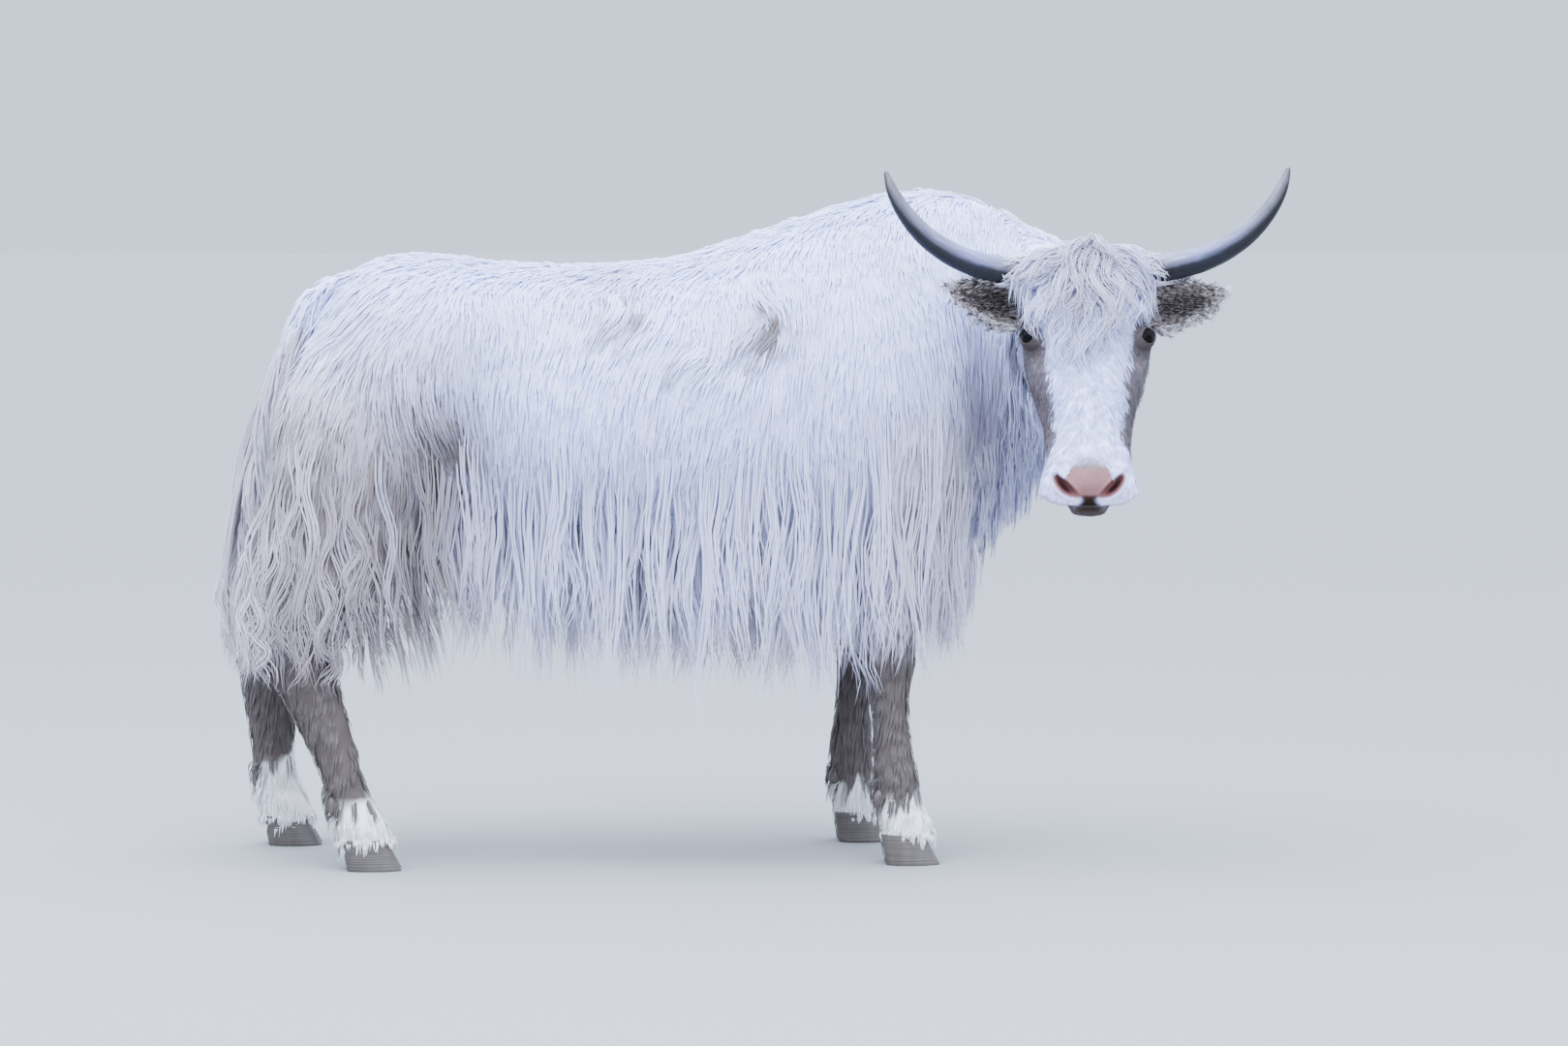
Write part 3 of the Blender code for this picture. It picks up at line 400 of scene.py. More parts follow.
UDDER_X, UDDER_HEIGHT, UDDER_RADII = -0.52, 0.560, (0.098, 0.073, 0.070)
TEAT_AHEAD, TEAT_ASIDE, TEAT_HEIGHT, TEAT_RADII = 0.038, 0.030, 0.492, (0.010, 0.010, 0.027)
udder = [Ground(ellipsoid((UDDER_X, 0, UDDER_HEIGHT), UDDER_RADII))]
for ahead in (TEAT_AHEAD, -TEAT_AHEAD):
    for aside in (TEAT_ASIDE, -TEAT_ASIDE):
        udder.append(Ground(ellipsoid((UDDER_X + ahead, aside, TEAT_HEIGHT), TEAT_RADII, 24, 20)))

# ================================================================ the hide of the head
# The head is one skin over the skull: a flat, broad forehead, a straight bridge, a wide muzzle
# with a bare nose pad, slanted nostrils, lips, and lids that close round each eye. Its measures are
# along from the poll to the lips, out of the face, and aside to the animal's left.
HEAD_ORIGIN = np.array((0.577, -0.345, 1.085))
HEAD_YAW, HEAD_TILT = math.radians(-95), math.radians(25)
AHEAD = np.array((math.cos(HEAD_YAW), math.sin(HEAD_YAW), 0.0))
LONG = AHEAD * math.sin(HEAD_TILT) + DOWN * math.cos(HEAD_TILT)
FACE = AHEAD * math.cos(HEAD_TILT) - DOWN * math.sin(HEAD_TILT)
LEFT = np.array((-AHEAD[1], AHEAD[0], 0.0))
HEAD_AXES = np.stack([LONG, FACE, LEFT])
# distance from the poll, front of the face, back of the jaw, half width, squareness of the front
SKULL = (
    (-0.052, 0.004, -0.040, 0.040, 2.2),
    (-0.038, 0.026, -0.070, 0.078, 2.2),
    (-0.010, 0.046, -0.096, 0.104, 2.3),
    (0.025, 0.060, -0.116, 0.110, 2.3),
    (0.060, 0.068, -0.135, 0.112, 2.3),
    (0.100, 0.070, -0.150, 0.116, 2.3),
    (0.140, 0.067, -0.160, 0.115, 2.3),
    (0.180, 0.060, -0.162, 0.107, 2.4),
    (0.230, 0.052, -0.150, 0.097, 2.6),
    (0.280, 0.046, -0.125, 0.087, 2.6),
    (0.330, 0.044, -0.100, 0.080, 2.6),
    (0.370, 0.046, -0.086, 0.081, 2.6),
    (0.405, 0.049, -0.078, 0.086, 2.6),
    (0.430, 0.043, -0.063, 0.081, 2.5),
    (0.445, 0.031, -0.051, 0.066, 2.3),
    (0.456, 0.015, -0.036, 0.044, 2.2),
    (0.462, 0.002, -0.024, 0.023, 2.1),
    (0.465, -0.007, -0.015, 0.005, 2.0),
)
EYE_PLACE, EYE_RADIUS = (0.135, 0.022, 0.0965), 0.0205
LID_HALF, LID_UP, LID_DOWN = 0.0185, 0.0142, 0.0122    # the almond between the lids
FACE_COAT = 0.004


def bell(*ratios, power=1):
    """exp(-(r1^2 + r2^2 + ...)^power): 1 in the middle and near 0 where a ratio passes 1.5."""
    return np.exp(-(sum(ratio**2 for ratio in ratios) ** power))


def spaced(low, high, count, crowds=()):
    """count values from low to high, closer together round each crowd of (place, reach, gain)."""
    fine = np.linspace(low, high, 4001)
    density = 1 + sum(gain * bell((fine - place) / reach) for place, reach, gain in crowds)
    total = np.cumsum(density)
    return np.interp(np.linspace(total[0], total[-1], count), total, fine)


def in_head(along, out, aside):
    """Points of the body's frame from a place's three measures in the head."""
    return HEAD_ORIGIN + stacked(along, out, aside) @ HEAD_AXES


def of_head(points):
    """The three measures in the head of points of the body's frame."""
    return (points - HEAD_ORIGIN) @ HEAD_AXES.T


def skull_at(along, angle):
    """The head's plain form: superellipses with a squarer front, in the head's own measures."""
    front, back, half, square = split(through(SKULL, along))
    inset = FACE_COAT * (1 - smooth(along, 0.44, 0.46))
    front, back, half = front - inset, back + inset, half - inset
    facing = np.sin(angle) >= 0
    across, out = rounded(angle, np.where(facing, square, 2.0))
    widest = front - 0.40 * (front - back)
    depth = widest + np.where(facing, front - widest, widest - back) * out
    return stacked(along, depth, half * across)


# place along, aside and out; the lumps' table reads aside as its second measure
HEAD_LUMPS = (
    ((-0.006, 0.000, 0.030), (0.030, 0.034, 0.045), 0.015),    # crest of the poll
    ((0.105, 0.088, 0.045), (0.020, 0.024, 0.024), 0.007),     # brow
    ((0.130, 0.108, 0.015), (0.040, 0.030, 0.036), 0.005),     # orbit
    ((0.084, 0.110, -0.020), (0.028, 0.030, 0.026), -0.008),   # temple
    ((0.172, 0.088, 0.036), (0.022, 0.020, 0.020), -0.005),    # before the eye
    ((0.200, 0.095, 0.000), (0.050, 0.024, 0.014), 0.005),     # crest of the cheek
    ((0.255, 0.085, -0.030), (0.045, 0.026, 0.018), -0.006),   # below it
    ((0.175, 0.100, -0.070), (0.055, 0.040, 0.045), 0.006),    # jaw muscle
    ((0.300, 0.060, 0.030), (0.050, 0.020, 0.020), -0.004),    # beside the bridge
    ((0.385, 0.085, -0.030), (0.014, 0.020, 0.014), -0.005),   # corner of the mouth
    ((0.425, 0.072, 0.000), (0.028, 0.026, 0.026), 0.006),     # upper lip
    ((0.440, 0.030, -0.048), (0.022, 0.040, 0.018), 0.003),    # lower lip
    ((0.424, 0.000, 0.045), (0.024, 0.026, 0.030), 0.003),     # nose pad
    ((0.120, 0.000, 0.062), (0.050, 0.030, 0.040), -0.003),    # dish of the forehead
    ((0.446, 0.058, -0.034), (0.018, 0.020, 0.024), -0.011),   # beside the chin
)
NOSTRIL = (0.424, 0.046, 0.046)            # along, out, aside
MOUTH_LOW, MOUTH_OUT, MOUTH_WIDTH = 0.447, -0.034, 0.0022


def eye_frame(side):
    """(middle, wide, high, look) of an eye in the head's measures: its corners slant to the nose."""
    look = unit(np.array((0.10, 0.68, 0.72 * side)))
    wide = np.array((0.34, 0.72, -0.60 * side))
    wide = unit(wide - look * (wide @ look))
    high = np.cross(wide, look) * side
    high = high if high[0] < 0 else -high
    along, out, aside = EYE_PLACE
    return np.array((along, out, aside * side)), wide, high, look


def lid_edge(w, upper):
    """Half height of the almond between the lids, at w across the eye."""
    return np.where(upper, LID_UP, LID_DOWN) * np.maximum(1 - (w / LID_HALF) ** 2, 0) ** 0.75


def eye_cover(points, side):
    """(w, h, l, gap) round an eye: place across, up and out of it, and depth inside the lids' edge."""
    middle, wide, high, look = eye_frame(side)
    away = points - middle
    w, h, l = away @ wide, away @ high, away @ look
    edge = lid_edge(w, h > 0)
    return w, h, l, np.where(abs(w) < LID_HALF, edge - abs(h), -np.hypot(abs(w) - LID_HALF, h))


def level(points):
    """How low a place of the head lies, measured down the face from the poll's height."""
    return points[..., 0] - math.tan(HEAD_TILT) * points[..., 1]


def mouth_distance(points):
    """Distance above the line of the mouth, and how far round the muzzle it reaches (0 to 1).

    The line is level across the front and runs back along the muzzle from its sides."""
    rising = 0.016 * np.clip((abs(points[..., 2]) - 0.042) / 0.045, 0, 1.2) ** 2
    front = (MOUTH_LOW - rising - level(points)) / 1.10
    beside = points[..., 1] - MOUTH_OUT + 0.15 * (0.43 - points[..., 0])
    return np.minimum(front, beside), smooth(points[..., 0], 0.365, 0.385)


def lip_notch(points):
    """1 in the dark notch between the two lobes of the upper lip, under the nose."""
    low = level(points)
    half = 0.0135 + 0.45 * np.maximum(low - 0.432, 0)
    return bell(points[..., 2] / half, power=3) * smooth(low, 0.4225, 0.4300) * (points[..., 1] > -0.03)


def nostril_place(points, side):
    """(q, r) of a nostril: place along its slanted slit and across it, the slit bent like a comma."""
    away = points - np.array((NOSTRIL[0], NOSTRIL[1], NOSTRIL[2] * side))
    up_out = (-away[..., 0] * 0.76 + away[..., 2] * side * 0.65)
    across = (away[..., 0] * 0.65 + away[..., 2] * side * 0.76) + 6.0 * (up_out - 0.006) ** 2
    return up_out, across


def sculpted(points):
    """The head's plain form with its features: each vertex is pushed along the surface's normal
    by the lumps, grooved along the mouth, sunk at the nostrils, and drawn to the lids' dome."""
    out = Ground(points).sheet[..., 3:6]
    made = points + out * lumps(points[..., (0, 2, 1)], HEAD_LUMPS)[..., None]
    gap, reach = mouth_distance(made)
    groove = -0.0065 * bell(gap / MOUTH_WIDTH) + 0.0022 * bell((gap - 0.008) / 0.006)
    groove += 0.0016 * bell((gap + 0.009) / 0.007)
    made = made + out * (groove * reach * smooth(made[..., 1], -0.075, -0.050))[..., None]
    for side in (1, -1):
        q, r = nostril_place(made, side)
        on_front = made[..., 1] > 0
        pit = bell(q / 0.0225, r / 0.0064, power=1.5) * on_front
        rim = bell(((q / 0.030) ** 2 + (r / 0.0125) ** 2 - 1) / 0.45) * on_front
        inward = np.array((-0.50, -0.82, -0.28 * side))
        made = made + pit[..., None] * 0.019 * inward + out * (0.0022 * rim)[..., None]
        w, h, l, inner = eye_cover(made, side)
        near = np.sqrt((w / 0.036) ** 2 + (h / 0.030) ** 2)
        weight = (1 - smooth(near, 0.55, 1.15)) * (l > -0.02)
        dome = np.sqrt(np.maximum((EYE_RADIUS + 0.0022) ** 2 - (0.80 * w) ** 2 - (0.95 * h) ** 2, 1e-5))
        dome = dome + 0.0012 * bell((inner + 0.0018) / 0.0018)
        crease = np.where(h > 0, -0.0018, -0.0010) * bell((inner + 0.0085) / 0.0016)
        behind = np.sqrt(np.maximum((EYE_RADIUS - 0.005) ** 2 - w**2 - h**2, 1e-6))
        open_eye = smooth(inner, -0.0012, 0.0018)
        wanted = (dome + crease) * (1 - open_eye) + behind * open_eye
        made = made + ((wanted - l) * weight)[..., None] * eye_frame(side)[3]
    low, gap = level(made), mouth_distance(made)[0]
    along, forward, beside = made[..., 0], made[..., 1], abs(made[..., 2])
    chin = smooth(-gap, -0.0010, 0.0035) * smooth(along, 0.400, 0.425) * smooth(forward, -0.075, -0.050)
    drawn_in = 0.0045 + 0.0130 * smooth(beside, 0.026, 0.050) * (1 - smooth(beside, 0.070, 0.090))
    hollow = np.maximum(0.0045 * lip_notch(made) * (1 - smooth(low, 0.447, 0.452)), drawn_in * chin)
    return made - out * hollow[..., None]


HEAD_ROWS = spaced(-0.052, 0.465, 206, ((0.134, 0.026, 3.4), (0.440, 0.036, 2.2)))
HEAD_TURNS = spaced(-math.pi / 2, 1.5 * math.pi, 291, (
    (math.radians(34), 0.26, 3.2), (math.radians(146), 0.26, 3.2), (math.radians(90), 0.50, 1.5)))[:-1]
head = Ground(HEAD_ORIGIN + sculpted(grid(skull_at, HEAD_ROWS, HEAD_TURNS)) @ HEAD_AXES)

# ================================================================ the hide of the ears
# Each ear is a leaf of gristle under skin, folded into a cup that opens to the front, with a rounded
# rim. It hangs level from behind the eye.
# share of the length, half width, cup depth
EAR_LEAF = (
    (0.00, 0.028, 0.014), (0.15, 0.040, 0.024), (0.35, 0.045, 0.025), (0.60, 0.038, 0.018),
    (0.82, 0.024, 0.010), (0.94, 0.012, 0.004), (1.00, 0.003, 0.001),
)
EAR_LENGTH, EAR_WALL = 0.160, 0.0055


def ear_frame(side):
    """(root, along, open, high) of an ear: it reaches aside and a little back, open to the front."""
    root = in_head(0.058, -0.045, 0.088 * side)
    along = unit(LEFT * side * 0.96 - FACE * 0.02 - LONG * (0.31 if side < 0 else 0.24))
    opening = unit(FACE * 0.93 + LONG * 0.30 + LEFT * side * 0.12)
    opening = unit(opening - along * np.dot(opening, along))
    high = np.cross(along, opening)
    return root, along, opening, high if high[2] > 0 else -high


def ear_surface(side):
    """A function of share and angle: cos(angle) goes across the leaf, and the leaf's two faces lie a
    wall apart behind a cup whose depth is 1 - across^2."""
    root, along, opening, high = ear_frame(side)

    def surface(share, angle):
        half, cup = split(through(EAR_LEAF, share))
        across = np.cos(angle)
        ridges = 0.0010 * np.cos(9 * across) * np.sin(np.pi * np.clip(share, 0, 1)) * (np.sin(angle) > 0)
        behind = cup * (1 - across**2) + EAR_WALL * (0.5 - 0.5 * np.sin(angle)) - ridges
        return (
            root + (share * EAR_LENGTH)[..., None] * along + (half * across)[..., None] * high
            - behind[..., None] * opening
        )
    return surface


ears = {
    word: Ground(grid(ear_surface(side), spaced(-0.10, 1.0, 60, ((1.0, 0.15, 1.0),)), around(64)))
    for side, word in SIDES
}

# ================================================================ the one skin
# All these hides are one: the trunk, legs, tail and udder are fused and smoothed where they flow into
# each other, and the head and ears are joined on. The skin carries the markings of the coat and some
# painted shade, is bare and pink at the nose pad and the udder, and dark on the lids and between the lips.
# The coat's white, with the blue cast of cool sky light and shade painted into it.
WHITE_WITH_PAINTED_SKY_CAST = np.array((0.560, 0.590, 0.915))
CREAM = np.array((0.500, 0.455, 0.505))
THIGH_GREY = np.array((0.200, 0.162, 0.166))
STAIN = np.array((0.085, 0.067, 0.064))
LEG_BROWN = np.array((0.080, 0.063, 0.060))
FOOT_WHITE = np.array((0.740, 0.730, 0.740))
CHEEK_TAN = np.array((0.056, 0.036, 0.027))
EAR_BROWN = np.array((0.042, 0.034, 0.034))
NOSE_PINK = np.array((0.170, 0.084, 0.084))
NOSTRIL_RED = np.array((0.150, 0.058, 0.058))
LID_DARK = np.array((0.035, 0.030, 0.030))
LIP_OLIVE, CHIN_OLIVE = np.array((0.014, 0.008, 0.003)), np.array((0.046, 0.026, 0.010))
NOSTRIL_DEPTH_SHADE = np.array((0.012, 0.006, 0.006))
NOSE_GREY = np.array((0.135, 0.112, 0.100))
UDDER_PINK = np.array((0.620, 0.470, 0.430))
NECK_PAINTED_SHADOW = np.array((0.180, 0.160, 0.220))
MATTED = ((-0.091, 0.955, 0.045), (0.006, 1.000, 0.048), (-0.237, 1.030, 0.050))   # x, z, reach


def ripple(points, size, seed):
    """Soft noise of about -1 to 1: six sine waves about size long, in random directions."""
    dice = np.random.default_rng(seed)
    total = 0
    for _ in range(6):
        way = unit(dice.normal(size=3)) * 2 * math.pi / size * dice.uniform(0.6, 1.6)
        total = total + np.sin(points @ way + dice.uniform(0, 2 * math.pi))
    return total / 2.5


def leg_measures(points):
    """(ahead, aside) of the middle of the nearest leg at each point's height."""
    x, y, z = split(points)
    ahead = aside = 0.0
    for name, leg in leg_kinds():
        side = leg[-1]
        near = ((x < -0.3) == name.startswith("hind")) & ((y > 0) == (side > 0))
        mx, my, _, _ = leg_section(z, *leg)
        ahead, aside = np.where(near, x - mx, ahead), np.where(near, (y - my) * side, aside)
    return ahead, aside


def mixed(colour, other, weight):
    """A colour moved towards another by weight, 0 to 1."""
    return colour + (other - colour) * np.clip(weight, 0, 1)[..., None]


def ear_measures(points, side):
    """(share along, across, depth inside the cup) of a place in an ear; depth over 0 is inside."""
    root, along, opening, high = ear_frame(side)
    away = points - root
    share = away @ along / EAR_LENGTH
    half, cup = split(through(EAR_LEAF, share))
    across = (away @ high) / half
    return share, across, away @ opening + cup * (1 - across**2) + 0.5 * EAR_WALL


def face_parts(points):
    """Where the bare and dark parts of the face are, each 0 to 1, at points of the body's frame."""
    places = of_head(points)
    a, o, s = split(places)
    beside, low = abs(s), level(places)
    on_head = (a > -0.08) & (a < 0.50) & (beside < 0.15) & (o > -0.16)
    on_front = (o > -0.02) * on_head
    front, rear, half, square = split(through(SKULL, a))
    widest = front - 0.40 * (front - rear)
    plain = widest + (front - widest) * (1 - np.clip(beside / half, 0, 1) ** square) ** (1 / square)
    sunk = smooth(plain - o, 0.005, 0.009) * (o > -0.01)
    part = {"head": on_head, **dict.fromkeys(("rim", "ring", "hole", "deep", "orbit", "cup"), 0.0)}
    for side in (1, -1):
        away = np.linalg.norm(places - eye_frame(side)[0], axis=-1)
        _, _, l, inner = eye_cover(places, side)
        q, r = nostril_place(places, side)
        share, across, depth = ear_measures(points, side)
        cup = smooth(depth, -0.001, 0.001) * (share > 0.12) * (share < 1.02) * (s * side > 0.085)
        for name, amount in (
            ("orbit", bell(away / 0.040, power=2) * on_head),
            ("rim", smooth(inner, -0.0045, -0.0015) * (l > 0) * (away < 0.05)),
            ("ring", bell(q / 0.034, r / 0.0115, power=2) * on_front),
            ("hole", bell(q / 0.0250, r / 0.0086, power=2) * on_front),
            ("hole", sunk * bell(q / 0.034, r / 0.024, power=3) * on_head),
            ("deep", bell((q - 0.003) / 0.020, (r + 0.0032) / 0.0066, power=2) * on_front),
            ("cup", cup * (1 - smooth(abs(across), 0.80, 1.0))),
        ):
            part[name] = part[name] + amount
    width = np.interp(a, (0.380, 0.395, 0.415, 0.442), (0.020, 0.036, 0.044, 0.025))
    pad = smooth(a, 0.380, 0.390) * (1 - smooth(a, 0.440, 0.446)) * (o > 0)
    part["pad"] = pad * smooth(width - beside, -0.004, 0.003) * on_head
    part["patch"] = bell((a - 0.382) / 0.015, s / 0.030, power=1.5) * (o > 0) * on_head
    gap, reach = mouth_distance(places)
    part["mouth"] = lip_notch(places) * (1 - smooth(low, 0.450, 0.462)) * on_head
    # The chin below the mouth line is olive-brown: partly stain, partly the shade under the muzzle painted
    # in.
    stained = smooth(-gap, -0.0005, 0.0035) * reach * (a > 0.40) * bell(s / 0.060, power=2)
    part["stained"] = stained * (o > -0.085) * on_head
    slit = bell(gap / 0.0022) * reach * on_head * (o > -0.06)
    part["slit"] = slit * (0.3 + 0.7 * bell(s / 0.05, power=3))
    part["lips"] = (gap > -0.003) * (gap < 0.008) * (a > 0.41) * on_head
    return part


# half width of the white blaze at distances from the poll
BLAZE = ((0.0, 0.10, 0.16, 0.19, 0.25, 0.33, 0.37), (0.095, 0.084, 0.075, 0.069, 0.058, 0.056, 0.080))
FOOT_LINE = 0.118                          # height where the brown of the leg ends above the white foot


def markings_and_painted_shade(points):
    """The coat's colour at points of the body's frame, with painted shade and light in it: soft-edged
    patches laid over each other.
    """
    x, y, z = split(points)
    a, o, s = split(of_head(points))
    aside, beside = abs(y), abs(s)
    broad, fine = ripple(points, 0.22, 1), ripple(points, 0.05, 2)
    speck = fine[..., None]

    rear = smooth(-x, 0.45, 0.78) * smooth(-z, -1.10, -0.88)
    # The body grows darker and creamier towards the bottom: partly the coat's own cream, partly painted
    # shade and warm light from the ground.
    low = smooth(-z, -0.80, -0.50)
    thigh = smooth(-x, 0.50, 0.62) * (1 - smooth(-x, 0.84, 0.90)) * smooth(-z, -0.98, -0.72)
    stain = bell((x + 0.560 + 0.40 * (0.91 - z)) / 0.105, (z - 0.820) / 0.155)
    # Painted shadow: a thin dark line down each thigh along the front edge of the tail's bush, in the
    # stain's colour.
    tail_shadow_line = bell((x + 0.862) / 0.016) * smooth(-z, -1.00, -0.92) * smooth(z, 0.45, 0.60) * (aside > 0.07)
    shoulder = bell((x - 0.32) / 0.12, (z - 0.80) / 0.10)
    # Painted shadow: the head, turned to the right, shades the neck behind it, painted as a darker
    # lavender patch on the right side.
    nape = bell((x - 0.41) / 0.065, (z - 0.88) / 0.13) * (y < -0.05)
    body = [
        (rear * 0.9 + low * 0.8 + 0.10 * broad, CREAM),
        (0.90 * thigh * (aside > 0.07) * (1 + 0.3 * fine), THIGH_GREY),
        (0.90 * stain * (0.8 + 0.3 * broad) * (aside > 0.1), STAIN),
        *((0.62 * bell((x - mx) / reach, (z - mz) / reach) * (y < 0) * (0.8 + 0.8 * fine), STAIN)
          for mx, mz, reach in MATTED),
        (0.3 * tail_shadow_line, STAIN), (0.75 * shoulder, CREAM), (0.85 * nape, NECK_PAINTED_SHADOW),
    ]

    ahead, off_leg = leg_measures(points)
    edge = FOOT_LINE + 0.035 * bell(off_leg / 0.022) * smooth(ahead, -0.01, 0.03) + 0.008 * fine
    edge = edge + 0.034 * (x < -0.3) * (y > 0)
    leg = [(smooth(-z, -0.50, -0.38), LEG_BROWN * (1 + 0.10 * speck)),
           (smooth(edge - z, -0.006, 0.008), FOOT_WHITE)]

    face = face_parts(points)
    tan = smooth(beside - np.interp(a, *BLAZE) + 0.003 * fine, -0.003, 0.004) * smooth(a, 0.06, 0.13)
    tan *= (1 - smooth(a, 0.335, 0.372)) * smooth(o, -0.150, -0.070)
    pale = 0.09 * (1 - smooth(a, 0.17, 0.25)) + 0.04 * smooth(a, 0.29, 0.35)
    temple = smooth(a, -0.01, 0.03) * (1 - smooth(a, 0.09, 0.12)) * smooth(beside, 0.094, 0.104)
    temple = temple * smooth(-o, 0.0, 0.04)
    chin = smooth(a, 0.37, 0.40) * smooth(-o, 0.010, 0.050)
    head_patches = [
        (0.95 * tan * face["head"], mixed(CHEEK_TAN * (1 + 0.12 * speck), CREAM, pale)),
        (0.8 * temple * face["head"], CHEEK_TAN), (0.5 * chin * face["head"], CREAM * 0.8),
        # Round the eyes the hair is dark tan, with a blue cast of cool shade painted over it.
        (0.93 * face["orbit"], CHEEK_TAN * (0.82, 0.95, 1.20)), (face["cup"], EAR_BROWN),
        (face["pad"], NOSE_PINK * (1 + 0.05 * speck)), (0.90 * face["patch"], NOSE_GREY),
        (face["ring"], NOSE_PINK * (0.85, 0.72, 0.72)), (0.95 * face["stained"], CHIN_OLIVE),
        # Painted shade: the depth of each nostril is painted near black.
        (face["mouth"], LIP_OLIVE), (face["hole"], NOSTRIL_RED), (0.95 * face["deep"], NOSTRIL_DEPTH_SHADE),
        (face["slit"], LID_DARK), (face["rim"], LID_DARK),
    ]

    from_udder = np.sqrt(((x - UDDER_X) / 0.12) ** 2 + (y / 0.095) ** 2 + ((z - 0.535) / 0.10) ** 2)
    colour = np.broadcast_to(WHITE_WITH_PAINTED_SKY_CAST, points.shape)
    for share, patch in (*body, *leg, *head_patches, (1 - smooth(from_udder, 0.90, 1.05), UDDER_PINK)):
        colour = mixed(colour, patch, share)
    return colour


def gridded(rows, turns, sign):
    """Faces of a grid that is round in its second direction, with a fan on each end point."""
    i, j = np.arange(rows - 1)[:, None] * turns, np.arange(turns)[None, :]
    k = (j + 1) % turns
    quads = stacked(i + j, i + k, i + turns + k, i + turns + j).reshape(-1, 4)
    j, k = j[0], k[0]
    last = (rows - 1) * turns
    fans = np.concatenate([stacked(rows * turns, k, j), stacked(rows * turns + 1, last + j, last + k)])
    return quads[:, ::sign], fans[:, ::sign]


def placed(name, data):
    """A new object in the scene that holds data."""
    made = bpy.data.objects.new(name, data)
    bpy.context.scene.collection.objects.link(made)
    return made


def skin_object(name, grounds):
    """One mesh object of the closed shells of several grids."""
    points, faces, count = [], [], 0
    for ground in grounds:
        rows, turns = ground.area.shape
        ends = [ground.points[row].mean(0)[None] for row in (0, -1)]
        points += [ground.points.reshape(-1, 3), *ends]
        for kind in gridded(rows, turns, ground.sign):
            faces += (kind + count).tolist()
        count += rows * turns + 2
    mesh = bpy.data.meshes.new(name)
    mesh.from_pydata((np.concatenate(points) + PLACE).tolist(), [], faces)
    return placed(name, mesh)


def apply_all(piece):
    """Puts what a piece's modifiers make into its mesh."""
    graph = bpy.context.evaluated_depsgraph_get()
    mesh = bpy.data.meshes.new_from_object(piece.evaluated_get(graph))
    piece.modifiers.clear()
    piece.data = mesh


def vertex_places(mesh):
    """A mesh's vertices in the body's frame."""
    got = np.empty(len(mesh.vertices) * 3)
    mesh.vertices.foreach_get("co", got)
    return got.reshape(-1, 3) - PLACE


def put_attribute(mesh, name, kind, values):
    """A value at each vertex: FLOAT, FLOAT_VECTOR or FLOAT_COLOR."""
    field = {"FLOAT": "value", "FLOAT_VECTOR": "vector", "FLOAT_COLOR": "color"}[kind]
    if kind == "FLOAT_COLOR":
        values = np.concatenate([values, np.ones((len(values), 1))], axis=1)
    flat = np.ascontiguousarray(values, np.float32).ravel()
    mesh.attributes.new(name, kind, "POINT").data.foreach_set(field, flat)


FUSE_VOXEL, FLOW_STRENGTH, FLOW_ROUNDS = 0.0128, 0.5, 5
hide = skin_object("hide", [trunk, tail, *legs.values(), *udder])
fuse = hide.modifiers.new("fuse", "REMESH")
fuse.mode, fuse.voxel_size = "VOXEL", FUSE_VOXEL
flow = hide.modifiers.new("flow", "SMOOTH")
flow.factor, flow.iterations = FLOW_STRENGTH, FLOW_ROUNDS
apply_all(hide)
joined = bpy.data.collections.new("joined")
bpy.context.scene.collection.children.link(joined)
for other in (skin_object("head_hide", [head]), skin_object("ear_hides", list(ears.values()))):
    bpy.context.scene.collection.objects.unlink(other)
    joined.objects.link(other)
join = hide.modifiers.new("join", "BOOLEAN")
join.operation, join.solver = "UNION", "MANIFOLD"
join.operand_type, join.collection = "COLLECTION", joined
apply_all(hide)
for other in list(joined.objects):
    bpy.data.objects.remove(other)
bpy.data.collections.remove(joined)
skin_places = vertex_places(hide.data)
face = face_parts(skin_places)
naked = np.clip(sum(face[name] for name in ("pad", "ring", "mouth", "rim", "slit")), 0, 1)
# Painted shade: wherever hair grows, the skin is painted 6% darker than on the bare parts, as the shade
# under the coat.
put_attribute(hide.data, "tint", "FLOAT_COLOR", markings_and_painted_shade(skin_places) * (0.94 + 0.06 * naked)[:, None])


